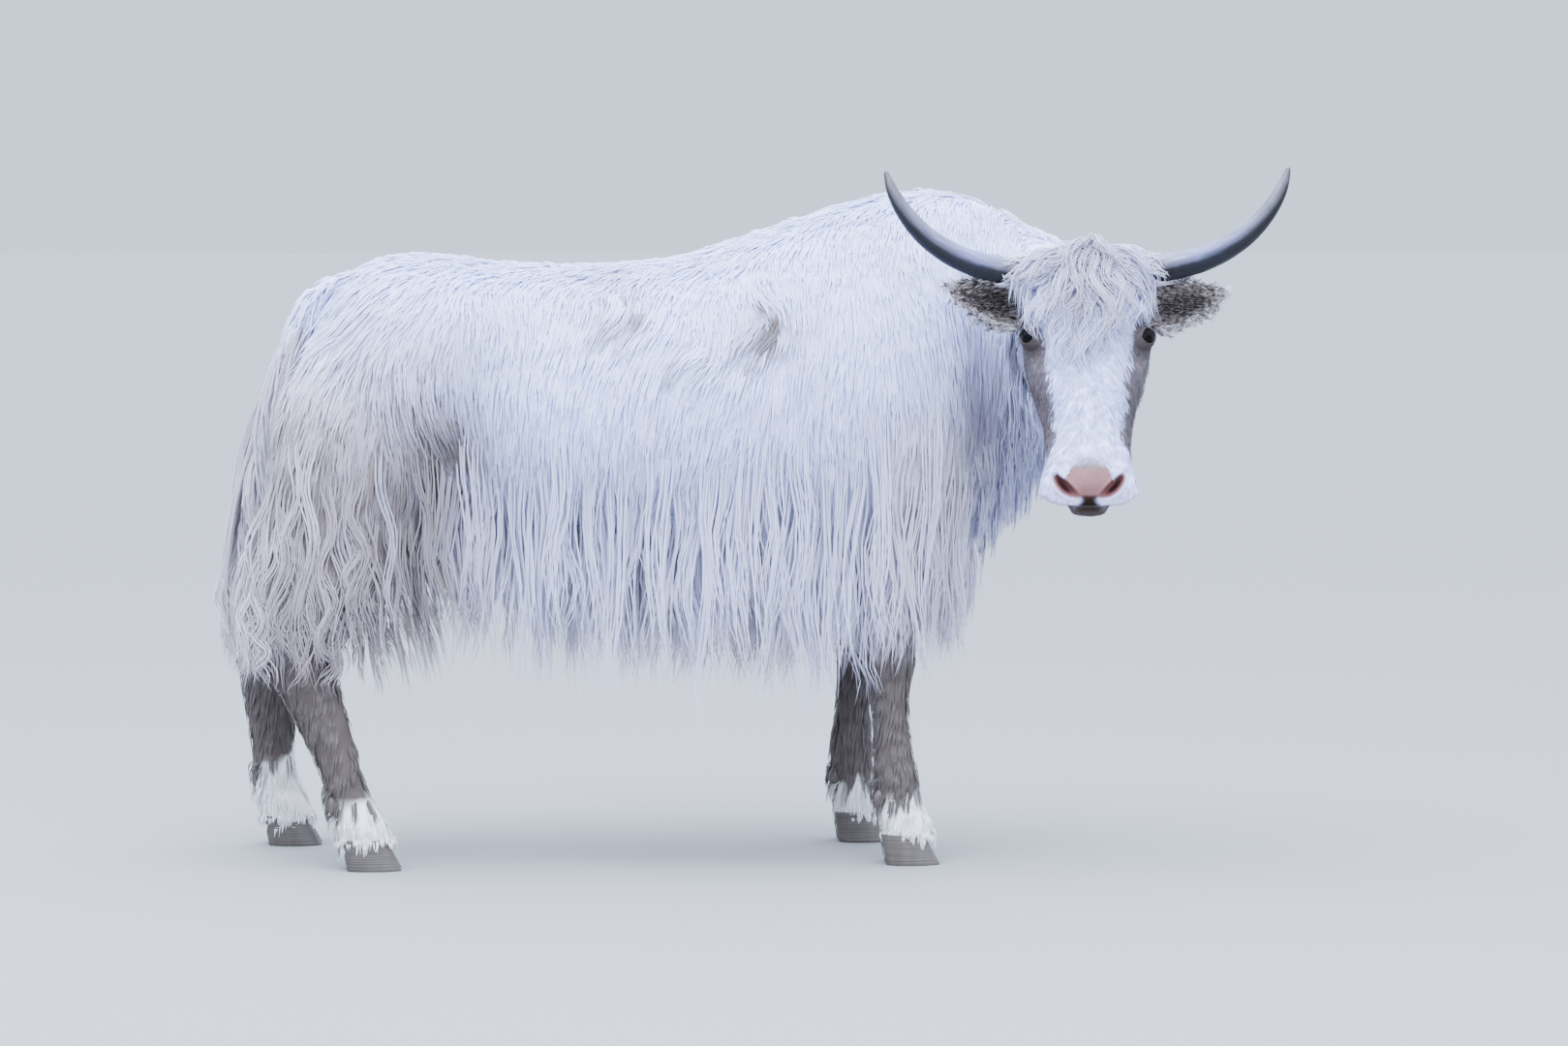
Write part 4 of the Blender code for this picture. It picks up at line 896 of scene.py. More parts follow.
class Finish:
    """A finish of nodes, made one by one. A node's sockets take numbers or other nodes' outputs."""

    def __init__(self, owner):
        owner.use_nodes = True
        self.owner, self.tree = owner, owner.node_tree

    def fill(self, node, sockets):
        """Puts a number in a socket of a node, or links an output to it."""
        for socket, value in sockets.items():
            if isinstance(value, bpy.types.NodeSocket):
                self.tree.links.new(value, node.inputs[socket])
            else:
                node.inputs[socket].default_value = value

    def node(self, kind, output, sockets, **settings):
        """A new node, and of it the output asked for."""
        made = self.tree.nodes.new("ShaderNode" + kind)
        for setting, value in settings.items():
            setattr(made, setting, value)
        self.fill(made, sockets)
        return made.outputs[output]

    def surface(self, **sockets):
        """Fills sockets of the Principled shader, whose names are written here with underscores."""
        shader = self.tree.nodes["Principled BSDF"]
        self.fill(shader, {name.replace("_", " "): value for name, value in sockets.items()})

    def attribute(self, name, output="Vector"):
        """A value kept at each vertex of the piece."""
        return self.node("Attribute", output, {}, attribute_name=name)

    def noise(self, vector, scale, detail=3.0, roughness=0.5):
        """Soft noise over a vector, 0 to 1."""
        sockets = {"Scale": scale, "Detail": detail, "Roughness": roughness, "Vector": vector}
        return self.node("TexNoise", "Fac", sockets)

    def remap(self, value, low, high, to_low, to_high):
        """A value moved in a straight line, so that low becomes to_low and high becomes to_high."""
        return self.node("MapRange", "Result", {
            "From Min": low, "From Max": high, "To Min": to_low, "To Max": to_high, "Value": value})

    def spread(self, noise, to_low, to_high):
        """A noise, most of which is from 0.3 to 0.7, as a value of to_low to to_high."""
        return self.remap(noise, 0.3, 0.7, to_low, to_high)

    def length(self, vector):
        """How long a vector is."""
        return self.node("VectorMath", "Value", {0: vector}, operation="LENGTH")

    def times(self, colour, *values):
        """A colour multiplied by each value in turn."""
        for value in values:
            colour = self.node("VectorMath", 0, {0: colour, 1: value}, operation="MULTIPLY")
        return colour

    def stretched(self, vector, scale):
        """A vector scaled apart along its three axes."""
        return self.node("Mapping", "Vector", {"Scale": scale, "Vector": vector})

    def ramp(self, value, *stops):
        """A colour that goes from stop to stop, each (place, colour)."""
        made = self.tree.nodes.new("ShaderNodeValToRGB")
        elements = made.color_ramp.elements
        for place, _ in stops[1:-1]:
            elements.new(place)
        for element, (place, colour) in zip(elements, stops):
            element.position, element.color = place, (*colour, 1)
        self.tree.links.new(value, made.inputs["Fac"])
        return made.outputs["Color"]

    def parts(self, vector):
        """The x, y and z of a vector."""
        made = self.tree.nodes.new("ShaderNodeSeparateXYZ")
        self.fill(made, {0: vector})
        return made.outputs

    def bump(self, height, distance, strength):
        """Lifts the surface's shading by a height times distance."""
        sockets = {"Distance": distance, "Strength": strength, "Height": height}
        self.surface(Normal=self.node("Bump", "Normal", sockets))


def new_finish(name, roughness, specular):
    """A Principled material with its even values on its own sockets."""
    made = Finish(bpy.data.materials.new(name))
    made.surface(Roughness=roughness, Specular_IOR_Level=specular)
    return made


def measured(piece, name, measures, *ends):
    """Gives a piece of one grid an attribute of three measures, and those of its two end points."""
    put_attribute(piece.data, name, "FLOAT_VECTOR", np.concatenate([measures.reshape(-1, 3), ends]))


def dressed(piece, finish, slot, *replaced):
    """Gives a piece its finish, shades it smooth, and lets it stand for CAD nodes; its slot is not used.
    """
    piece.data.polygons.foreach_set("use_smooth", np.ones(len(piece.data.polygons), bool))
    piece.data.materials.clear()
    piece.data.materials.append(finish.owner)
    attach(piece, "root")
    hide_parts(*replaced)


skin = new_finish("short_coat_over_skin", 0.70, 0.05)
spot = skin.node("TexCoord", "Object", {})
hairs = skin.noise(skin.stretched(spot, (1.0, 1.0, 0.22)), 620, 2)
tone = skin.spread(skin.noise(spot, 34, 4), 0.94, 1.04)
tint = skin.times(skin.attribute("tint", "Color"), tone)
skin.surface(Base_Color=skin.times(tint, skin.spread(hairs, 0.90, 1.06)))
skin.bump(hairs, 0.0012, 0.8)
dressed(hide, skin, "white_coat", "torso", "neck", "head", "tail", "udder", "ear_left", "ear_right",
        "fore_leg_left", "fore_leg_right", "hind_leg_left", "hind_leg_right")

# ================================================================ the eyes
# Each eye is a wet, dark ball with a brown iris and a level, oblong pupil, and the clear dome of the
# cornea over it. Only the almond between the lids shows.


def eye_points(side, rings=48, sides=64):
    """A ball whose front swells a little, as exp(-(angle/0.5)^2), for the cornea; and a plain ball."""
    _, *axes = eye_frame(side)
    down = np.linspace(0.02, math.pi - 0.02, rings)[:, None]
    measures = ball(down, around(sides)[None, :])
    reach = EYE_RADIUS * (1 + 0.045 * bell(down / 0.5))
    middle = in_head(EYE_PLACE[0], EYE_PLACE[1], EYE_PLACE[2] * side)
    return middle + reach[..., None] * measures @ np.stack(axes) @ HEAD_AXES, measures


wet_eye = new_finish("wet_eye", 0.10, 0.02)
wet_eye.surface(Coat_Weight=0.01, Coat_Roughness=0.04)
ball_place = wet_eye.attribute("ball")
pupil_size = wet_eye.length(wet_eye.stretched(ball_place, (1.0, 2.1, 0.0)))
iris_size = wet_eye.length(wet_eye.stretched(ball_place, (1.0, 1.0, 0.0)))
iris = wet_eye.ramp(pupil_size, (0.36, (0.002, 0.002, 0.003)), (0.44, (0.004, 0.003, 0.003)))
beyond_iris = wet_eye.ramp(iris_size, (0.66, (0, 0, 0)), (0.74, (1, 1, 1)))
fibres = wet_eye.noise(wet_eye.stretched(ball_place, (1.0, 1.0, 0.3)), 26, 4)
iris = wet_eye.times(iris, wet_eye.spread(fibres, 0.6, 1.5))
wet_eye.surface(Base_Color=wet_eye.node("Mix", "Result", {
    "B": (0.006, 0.004, 0.004, 1), "Factor": beyond_iris, "A": iris}, data_type="RGBA"))
for side, word in SIDES:
    points, measures = eye_points(side)
    eye = skin_object(f"eyeball_{word}", [Ground(points)])
    measured(eye, "ball", measures, (0, 0, 1), (0, 0, -1))
    dressed(eye, wet_eye, "eye", f"eye_{word}")

# ================================================================ the horns
# Slim horns sweep out level from the poll, then forwards and up, with the tips turned in. They are
# a hard sheath: ridged with growth rings near the root, worn smooth and fine-grained beyond.
HORN_UNEVEN = 0.007
# share of the length, aside, up, forward, radius
HORN_LINE = (
    (0.00, 0.085, 0.006, 0.000, 0.0245),
    (0.14, 0.145, 0.012, 0.010, 0.0245),
    (0.32, 0.212, 0.029, 0.028, 0.0225),
    (0.52, 0.275, 0.064, 0.042, 0.0195),
    (0.72, 0.322, 0.112, 0.044, 0.0155),
    (0.88, 0.348, 0.156, 0.034, 0.0105),
    (1.00, 0.360, 0.190, 0.020, 0.0040),
)


def horn_points(side, rows=190, sides=48):
    """Circles across the horn's bend, ringed by a fading sine and rounded off at the tip.

    Also gives each point's share of the length, height on the circle and share of the turn."""
    shares, turns = np.linspace(0, 1, rows), around(sides)
    aside, high, forward, radius = split(through(HORN_LINE, shares))
    start = in_head(0.004, -0.012, 0.0) - DOWN * HORN_UNEVEN * (side > 0)
    line = start + np.outer(aside, LEFT * side) - np.outer(high, DOWN) + np.outer(forward, AHEAD)
    heading = unit(np.gradient(line, axis=0))
    first = unit(np.cross(heading, AHEAD))
    second = np.cross(heading, first)
    rings = 0.018 * np.sin(shares * 115) ** 3 * (1 - smooth(shares, 0.10, 0.42))
    rings += 0.008 * np.sin(shares * 47 + 1) * (1 - smooth(shares, 0.3, 0.7))
    flutes = 0.010 * np.sin(turns * 9 + 2)[None, :] * (1 - smooth(shares, 0.1, 0.6))[:, None]
    radius = radius[:, None] * (1 + rings[:, None] + flutes)
    radius = radius * np.sqrt(1 - smooth(shares, 0.985, 1.004) ** 2)[:, None]
    circle = np.multiply.outer(np.cos(turns), first) + np.multiply.outer(np.sin(turns), second)
    circle = circle.swapaxes(0, 1)
    measures = stacked(shares[:, None], circle @ -DOWN, turns / 6.28)
    return line[:, None] + circle * radius[..., None], measures


sheath = new_finish("horn_sheath", 0.42, 0.28)
lengthwise = sheath.attribute("sheath")
parts = sheath.parts(lengthwise)
# Painted light: the blue-grey along the middle of the horn is the cool sky's cast painted into its colour.
along = sheath.ramp(parts["X"], (0.0, (0.14, 0.125, 0.135)), (0.30, (0.098, 0.105, 0.210)),
                    (0.75, (0.070, 0.070, 0.100)), (1.0, (0.050, 0.046, 0.052)))
streak = sheath.noise(sheath.stretched(lengthwise, (2.2, 3.0, 26.0)), 3.0, 5, 0.62)
blotch = sheath.noise(sheath.stretched(lengthwise, (9.0, 2.0, 5.0)), 1.6, 3)
# Painted shade and light: the horn's colour runs from 6% underneath to 130% on top, by the height on its
# circle.
painted_shade_below = sheath.remap(parts["Y"], -0.14, 0.46, 0.06, 1.30)
horn_colour = sheath.times(along, painted_shade_below, sheath.spread(streak, 0.48, 1.35),
                           sheath.remap(blotch, 0.35, 0.65, 0.75, 1.15))
sheath.surface(Base_Color=horn_colour, Roughness=sheath.spread(streak, 0.36, 0.60))
sheath.bump(streak, 0.0006, 0.7)
for side, word in SIDES:
    points, measures = horn_points(side)
    horn = skin_object(f"horn_sheath_{word}", [Ground(points)])
    measured(horn, "sheath", measures, (0, 0, 0.5), (1, 0.3, 0.5))
    dressed(horn, sheath, "horn", f"horn_{word}")

# ================================================================ the claws
# Each foot stands on two claws of horn, flat below and rounded at the toe, with a growth line every
# few millimetres, and two small dewclaws behind the fetlock.


def claw_points(foot_x, aside, side, middle, rows=34, sides=44):
    """Level superellipses, narrower at the toe by 0.35 along^2 and a little rounded at the sole.

    middle is how far the claw's own middle lies aside from the foot's."""
    heights = np.concatenate([[0.0, 0.0008, 0.0020], np.linspace(0.004, HOOF_HEIGHT + 0.006, rows - 3)])
    rise, turns = (heights / HOOF_HEIGHT)[:, None], around(sides)[None, :]
    across, along = rounded(turns, 2.4)
    bevel = np.interp(heights, (0, 0.0008, 0.0020, 0.004), (0.0016, 0.0008, 0.0002, 0.0))[:, None]
    ridge = 0.00035 * np.sin(heights / 0.0046 * 2 * math.pi)[:, None] * (heights > 0.006)[:, None]
    length = 0.050 - 0.010 * rise - bevel + ridge
    width = 0.0215 - 0.0015 * rise - bevel + ridge
    narrow = 1 - 0.35 * np.clip(along, 0, 1) ** 2
    x = foot_x + 0.006 - 0.018 * rise + length * along
    y = side * (aside + middle + width * across * narrow)
    return stacked(x, y, heights[:, None])


claw_horn = new_finish("claw_horn", 0.46, 0.4)
spot = claw_horn.node("TexCoord", "Object", {})
bands = claw_horn.noise(claw_horn.stretched(spot, (6.0, 6.0, 190.0)), 1.6, 3)
grain = claw_horn.noise(claw_horn.stretched(spot, (90.0, 90.0, 12.0)), 1.0, 4)
banded = claw_horn.ramp(bands, (0.30, (0.050, 0.042, 0.038)), (0.72, (0.085, 0.072, 0.064)))
claw_horn.surface(Base_Color=claw_horn.times(banded, claw_horn.spread(grain, 0.85, 1.12)))
claw_horn.bump(bands, 0.0008, 0.6)
CLAW_MIDDLE, DEWCLAW_HEIGHT, DEWCLAW_RADII = 0.0235, 0.135, (0.011, 0.008, 0.016)
for name, leg in leg_kinds():
    table, foot, step, side = leg
    foot_x, aside = foot - side * step, table[0][2]
    claws = [Ground(claw_points(foot_x, aside, side, middle)) for middle in (-CLAW_MIDDLE, CLAW_MIDDLE)]
    root = leg_surface(*leg)(np.array(DEWCLAW_HEIGHT), np.array(-math.pi / 2))
    claws += [Ground(ellipsoid(root + np.array((0.006, aside, -0.014)), DEWCLAW_RADII, 24, 24))
              for aside in (0.018, -0.018)]
    nodes = [f"{name.replace('leg', 'hoof')}_{word}" for word in ("inner", "outer")]
    dressed(skin_object(name.replace("leg", "claws"), claws), claw_horn, "hoof", *nodes)

# ================================================================ the coat of the trunk and neck
# The winter undercoat is gone and short guard hair lies over the body in small, pointed locks: down
# and a little back on the flanks, straight down on the shoulder, parted along the spine. Three
# matted patches swirl on the right side. Each lock is a few flat, tapered strands that draw together.
BACK = np.array((-1.0, 0.0, 0.0))
SINK = 0.003                               # how far a root is under the skin
skin_tree = BVHTree.FromObject(hide, bpy.context.evaluated_depsgraph_get())


def rise(t):
    """How a lock leaves the skin: a quarter sine that is full at 0.6 of its length."""
    return np.sin(np.clip(t / 0.6, 0, 1) * math.pi / 2)


def settled(line, lift):
    """Lines moved along the nearest skin's normal until each ring stands lift * rise(t) off it.

    A ring that is too low comes out in full; one that is too high goes in by (1 - t)^2 of it."""
    flat = (line + PLACE).reshape(-1, 3)
    near = [skin_tree.find_nearest(place) for place in flat.tolist()]
    spot, out = np.array([n[0] for n in near]), np.array([n[1] for n in near])
    t = np.tile(np.linspace(0, 1, line.shape[1]), len(line))
    wanted = np.repeat(np.asarray(lift), line.shape[1]) * rise(t)
    short = wanted - np.sum((flat - spot) * out, -1)
    short = np.where(short > 0, short, np.maximum(short, -0.02) * (1 - t) ** 2)
    return (flat + out * short[:, None] - PLACE).reshape(line.shape)


def comb(ground, u, v, length, lift, way, spans, fall=0.0, hold=1.0):
    """The middle lines of locks rooted at grid places u, v.

    Each line goes on by equal steps along way(place, out, row), more and more pulled to the floor by
    fall, and is kept lift * rise(t) off the skin; hold is how strongly it is also drawn back to it."""
    point, out, row, turn = ground.read(u, v)
    place, line, outs = point, [point], [out]
    step = (length / spans)[:, None]
    for k in range(1, spans + 1):
        t = k / spans
        go = way(place, out, row)
        go = unit(go - out * np.sum(go * out, -1, keepdims=True))
        pull = np.clip(fall * t, 0, 1)
        go = unit(go * (1 - pull) + DOWN * pull)
        du, dv = ground.step((row, turn), go * step)
        u, v, place = u + du, v + dv, place + go * step
        point, out, row, turn = ground.read(u, v)
        short = lift * rise(t) - np.sum((place - point) * out, -1)
        place = place + out * np.where(short > 0, short, short * hold)[:, None]
        line.append(place)
        outs.append(out)
    return settled(np.stack(line, 1), lift), np.stack(outs, 1)


def waved(line, out, size, turns, dice):
    """Lines bent sideways by a sine whose size grows from the root, each in its own phase."""
    t = np.linspace(0, 1, line.shape[1])[None, :]
    side = unit(np.cross(np.gradient(line, axis=1), out))
    phase, own = dice.uniform(0, 2 * math.pi, (len(line), 1)), dice.uniform(0.6, 1.3, (len(line), 1))
    pace = turns * dice.uniform(0.75, 1.1, (len(line), 1))
    bend = size * own * np.sin(2 * math.pi * pace * t + phase) * smooth(t, 0.0, 0.45)
    return line + side * (bend - bend[:, :1])[..., None]


def strands(ground, places, line, out, dice, lift, form, gather=0.6, frizz=0.0, roots=0.25,
            tips=(0.75, 1.0), roll=0.5, stiff=0.35, sink=SINK):
    """Each lock's line parted into strands: closed spikes of triangular section.

    form is how many strands a lock has, how wide and how thick it spreads, and a strand's width. A
    strand starts a little along the line and aside, draws in by gather towards the tip, strays by
    frizz, and its root is drawn down under the skin. Returns the batch of all strands."""
    count, wide, deep, width = form
    locks, rings = line.shape[:2]
    t = np.linspace(0, 1, rings)
    each = (locks, count)
    begin, end = dice.uniform(0, roots, each), dice.uniform(*tips, each)
    at = (begin[..., None] + (end - begin)[..., None] * t) * (rings - 1)
    i = np.clip(at.astype(int), 0, rings - 2)
    f = (at - i)[..., None]
    pick = np.arange(locks)[:, None, None]
    aside = unit(np.cross(unit(np.gradient(line, axis=1)), out))
    centre, up, side = (held[pick, i] * (1 - f) + held[pick, i + 1] * f for held in (line, out, aside))
    up, side = unit(up), unit(side)
    a, h = dice.uniform(-1, 1, each), dice.uniform(0, 1, each)
    phase = t * dice.uniform(0.5, 1.6, (*each, 1)) + dice.uniform(0, 1, (*each, 1))
    stray = frizz * np.sin(2 * math.pi * phase)
    across = (a * wide)[..., None] * (1 - gather * t**0.8) + stray * t**1.3
    above = (h * deep)[..., None] * np.sin(math.pi * t**0.7) + stray[..., ::-1] * 0.4 * t
    drop = (lift[:, None] * rise(begin) + sink)[..., None] * (1 - t) ** 3
    place = centre + side * across[..., None] + up * (above - drop)[..., None]
    turn = dice.uniform(-roll, roll, (*each, 1, 1))
    flat, ridge = side * np.cos(turn) + up * np.sin(turn), up * np.cos(turn) - side * np.sin(turn)
    profile = np.interp(t, (0, 0.25, 0.6, 0.85, 1), (0.7, 1, 0.9, 0.5, 0))
    own = np.broadcast_to(np.asarray(width, float), (locks,))[:, None] * dice.uniform(0.7, 1.25, each)
    half = (own[..., None] * profile / 2)[..., None]
    body = np.stack([place - flat * half, place + ridge * half * 2 * stiff, place + flat * half], axis=3)
    total = locks * count
    tip = place[:, :, -1].reshape(total, 1, 3)
    points = np.concatenate([body[:, :, :-1].reshape(total, -1, 3), tip], axis=1)
    reach = np.concatenate([np.repeat(t[:-1], 3), [1.0]])
    cross = np.concatenate([np.tile((-1.0, 0.0, 1.0), rings - 1), [0.0]])
    tone = dice.uniform(0, 1, (locks, 1)) * 0.6 + dice.uniform(0, 1, each) * 0.4
    u, v = places
    point, _, row, turn_slope = ground.read(u, v)
    du, dv = ground.step((row[:, None], turn_slope[:, None]), place[:, :, 0] - point[:, None])
    rows, turns = ground.area.shape
    spot = stacked((u[:, None] + du) / rows, (v[:, None] + dv) / turns)
    grain = stacked(cross, reach, tone.reshape(total, 1))
    return {"points": points, "grain": grain, "spot": spot.reshape(total, 2),
            "root": np.repeat(point, count, axis=0), "tint": np.repeat(markings_and_painted_shade(point), count, axis=0)}


def grown(ground, dice, count, density, length, lift, way, spans, form, fall=0.0, hold=1.0, wave=None,
          bend=None, **style):
    """A batch of count locks: scattered by density, combed along way, waved, and parted into strands.

    length and lift are functions of the roots' places and normals, and of draw(low, high), which gives
    each lock an even random number. wave is (size, turns), bend gives the push of each line's end in x
    before it is waved, and the width in form may be a function of the roots' places."""
    u, v = ground.scatter(count, density, dice)
    root, out = ground.read(u, v)[:2]
    def draw(low, high):
        return dice.uniform(low, high, count)

    length, lift = length(root, out, draw), lift(root, out, draw)
    *spread, width = form
    form = (*spread, width(root) if callable(width) else width)
    line, out = comb(ground, u, v, length, lift, way, spans, fall, hold)
    if bend:
        line[..., 0] += bend(root)[:, None] * np.linspace(0, 1, spans + 1) ** 1.5
    if wave:
        line = waved(line, out, *wave, dice)
    return strands(ground, (u, v), line, out, dice, lift, form, **style)


def even(size, low, high):
    """A rule that draws each lock's measure between low and high times one size."""
    return lambda root, out, draw: size * draw(low, high)


def strand_faces(rings):
    """Triangles of one strand: a root cap, the bands between rings, and the fan at the tip."""
    faces = [(0, 1, 2)]
    for k in range(rings - 2):
        for j in range(3):
            a, b = 3 * k + j, 3 * k + (j + 1) % 3
            faces += [(a, a + 3, b), (b, a + 3, b + 3)]
    last = 3 * (rings - 2)
    return np.array(faces + [(last + j, last + 3, last + (j + 1) % 3) for j in range(3)])


def coat_piece(name, batches, replaced=(), sleek=False):
    """One mesh of all the strands of several batches, with their tint, grain and small bake patches.

    A patch lies at its root's place on the ground's own unrolled grid, spread to fill the square.
    The short, sleek coats are shaded flat, so that their thin strands catch the light as skin does."""
    points, faces, grain, tint, patches, count = [], [], [], [], [], 0
    spots = np.concatenate([batch["spot"] for batch in batches])
    low, high = spots.min(0), spots.max(0)
    for batch in batches:
        total, each = batch["points"].shape[:2]
        rings = (each - 1) // 3 + 1
        starts = count + np.arange(total) * each
        faces.append((strand_faces(rings)[None] + starts[:, None, None]).reshape(-1, 3))
        points.append(batch["points"].reshape(-1, 3))
        grain.append(batch["grain"].reshape(-1, 3))
        tint.append(np.repeat(batch["tint"], each, axis=0))
        patch = 0.003 * (batch["grain"][..., :2] * (0.5, 1.0) - (0.0, 0.5))
        spot = 0.004 + 0.992 * (batch["spot"] - low) / (high - low)
        patches.append((spot[:, None] + patch).reshape(-1, 2))
        count += total * each
    points, faces = np.concatenate(points) + PLACE, np.concatenate(faces)
    mesh = bpy.data.meshes.new(name)
    mesh.vertices.add(len(points))
    mesh.vertices.foreach_set("co", points.astype(np.float32).ravel())
    mesh.loops.add(faces.size)
    mesh.loops.foreach_set("vertex_index", faces.astype(np.int32).ravel())
    mesh.polygons.add(len(faces))
    mesh.polygons.foreach_set("loop_start", np.arange(0, faces.size, 3, dtype=np.int32))
    mesh.polygons.foreach_set("use_smooth", np.full(len(faces), not sleek))
    mesh.update(calc_edges=True)
    put_attribute(mesh, "grain", "FLOAT_VECTOR", np.concatenate(grain))
    put_attribute(mesh, "tint", "FLOAT_COLOR", np.concatenate(tint))
    bake = mesh.uv_layers.new(name="OFBake")
    bake.data.foreach_set("uv", np.concatenate(patches)[faces.ravel()].astype(np.float32).ravel())
    mesh.materials.append(guard_hair.owner)
    made = placed(name, mesh)
    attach(made, "root")
    if replaced:
        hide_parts(*replaced)


guard_hair = new_finish("guard_hair", 0.50, 0.22)
guard_hair.surface(Subsurface_Weight=0.35, Subsurface_Radius=(1.0, 0.9, 0.9), Subsurface_Scale=0.008)
strand_grain = guard_hair.attribute("grain")
parts = guard_hair.parts(strand_grain)
fine = guard_hair.noise(guard_hair.stretched(strand_grain, (2.2, 1.1, 57.0)), 1.7, 2)
# The strands darken towards their roots: partly dirt, partly painted shade deep in the coat.
root_shade_and_dirt = guard_hair.remap(parts["Y"], 0.0, 0.50, 0.93, 1.0)
own_tone = guard_hair.remap(parts["Z"], 0.0, 1.0, 0.87, 1.08)
tint = guard_hair.attribute("tint", "Color")
streaks = guard_hair.spread(fine, 0.93, 1.06)
guard_hair.surface(Base_Color=guard_hair.times(tint, root_shade_and_dirt, own_tone, streaks))
guard_hair.bump(fine, 0.0006, 0.6)


def inside_head(points):
    """True for points inside the head's plain form."""
    a, o, s = split(of_head(points))
    front, back, half, _ = split(through(SKULL, a))
    middle, deep = (front + back) / 2, (front - back) / 2
    return (abs(s / half) ** 2.2 + abs((o - middle) / deep) ** 2.2 < 1) & (a > -0.05) & (a < 0.47)


def stirred(way, out, place, *waves):
    """A way turned aside on the skin by soft noise, each wave (amount, size, seed)."""
    noise = sum(amount * ripple(place, size, seed) for amount, size, seed in waves)
    return way + unit(np.cross(way, out)) * noise[..., None]


def trunk_lie(place, out, row):
    """The way the trunk's hair lies: down, parted at the spine, back along the body, and stirred."""
    x, y, z = split(place)
    lean = 0.05 + 0.24 * bell((x + 0.10) / 0.15) + 0.85 * smooth(-x, 0.48, 0.72) * smooth(z, 0.88, 1.06)
    stifle = bell((x + 0.60) / 0.10, (z - 0.80) / 0.10)
    lean = lean - 0.50 * stifle + 0.90 * smooth(out[..., 2], 0.75, 0.97)
    way = DOWN - lean[..., None] * unit(row)
    parted = 0.8 * (y / (abs(y) + 0.05)) * smooth(out[..., 2], 0.4, 0.9)
    way = way + parted[..., None] * np.array((0, 1.0, 0))
    for mx, mz, reach in MATTED:
        dx, dz = (x - mx) / reach, (z - mz) / reach
        near = 1.3 * bell(dx, dz) * (y < 0)
        way = way + stacked(dz * near, 0, -dx * near)
    return stirred(way, out, place, (0.10, 0.20, 3), (0.06, 0.06, 4))


def trunk_length(root, out, draw):
    """The trunk's hair in metres: shortest on the back, longer on neck, rump and low flank."""
    x, _, z = split(root)
    length = 0.115 + 0.015 * smooth(x, 0.15, 0.40) + 0.045 * smooth(-z, -0.88, -0.68)
    return (length + 0.010 * smooth(-x, 0.55, 0.75) - 0.040 * smooth(z, 1.00, 1.10)) * draw(0.8, 1.3)


def trunk_lift(root, out, draw):
    """How far the trunk's locks stand off: a little less on the back."""
    return (0.0080 - 0.0020 * smooth(root[:, 2], 0.98, 1.10)) * draw(0.6, 1.25)


REAR_ZONE, FRONT_ZONE = -0.14, 0.42        # x where the rear coat ends and the neck's begins
x_, y_, _ = split(trunk.points)
steep_ = trunk.sheet[..., 5]               # the height part of the skin's normal
bare = inside_leg(trunk.points, 0.84) | inside_head(trunk.points)
coat_density = np.where(bare, 0, 1.0) * (1 - 0.7 * smooth(-steep_, 0.45, 0.80))
coat_density = coat_density * (1 + 0.6 * smooth(steep_, 0.55, 0.90))
rear_zone, front_zone = x_ < REAR_ZONE, (x_ >= REAR_ZONE) & (x_ < FRONT_ZONE)
zones = {
    "coat_back_right": (y_ < 0) & rear_zone,
    "coat_back_left": (y_ >= 0) & rear_zone,
    "coat_front_right": (y_ < 0) & front_zone,
    "coat_front_left": (y_ >= 0) & front_zone,
    "coat_neck": x_ >= FRONT_ZONE,
}
TRUNK_LOCKS, SPINE_LOCKS = 4040, 300
ridge = (abs(y_) < 0.10) * smooth(steep_, 0.70, 0.85) * coat_density
for seed, (name, zone) in enumerate(zones.items()):
    dice = np.random.default_rng(100 + seed)
    body_count, spine_count = (
        int(locks * (np.sum(trunk.area * density * zone) / np.sum(trunk.area * density)))
        for locks, density in ((TRUNK_LOCKS, coat_density), (SPINE_LOCKS, ridge)))
    coat_piece(name, [
        grown(trunk, dice, body_count, coat_density * zone, trunk_length, trunk_lift, trunk_lie, 3,
              (8, 0.017, 0.0016, 0.0036), gather=0.25, frizz=0.003, tips=(0.60, 1.0), roll=0.20,
              stiff=0.14),
        grown(trunk, dice, spine_count, ridge * zone, even(0.042, 0.6, 1.3), even(0.006, 0.5, 1.4),
              trunk_lie, 3, (4, 0.012, 0.004, 0.0026), gather=0.3, frizz=0.003, tips=(0.7, 1.0)),
    ], sleek=True)

# ================================================================ the long hair of thighs and tail
# From the rump down the hair is long: wavy, cream locks that cover the thigh to below the hock, lighter
# at their ends, and a broad, straight bush from both sides and the back of the dock down to the hocks.
THIGH_TIPS, TAIL_TIPS = 0.315, 0.305       # height of the longest ends over the floor


def leg_lie(place, out, row):
    """The way a leg's hair lies: down and a little back, stirred."""
    x, _, z = split(place)
    lean = 0.10 + 0.25 * smooth(z, 0.60, 0.95) - 0.45 * bell((x + 0.60) / 0.08, (z - 0.80) / 0.12)
    return stirred(DOWN + lean[..., None] * BACK, out, place, (0.12, 0.15, 5), (0.10, 0.05, 6))


def hanging_lie(place, out, row):
    """Straight down, a little back, and stirred."""
    go = DOWN + 0.10 * BACK
    return go + unit(np.cross(go, out) + 1e-6) * (0.10 * ripple(place, 0.12, 7))[..., None]


def tail_lie(place, out, row):
    """The tail's hair leaves the dock outwards and hangs."""
    return DOWN + 0.10 * BACK + out * 0.1


def foremost(root):
    """1 at the front edge of the thigh."""
    return smooth(root[:, 0], -0.76, -0.62)


def over_height(start, end, low, high, least, most):
    """A rule that draws between least and most times a size, which goes from start at the height low
    to end at the height high."""
    def rule(root, out, draw):
        return (start + (end - start) * smooth(root[:, 2], low, high)) * draw(least, most)
    return rule


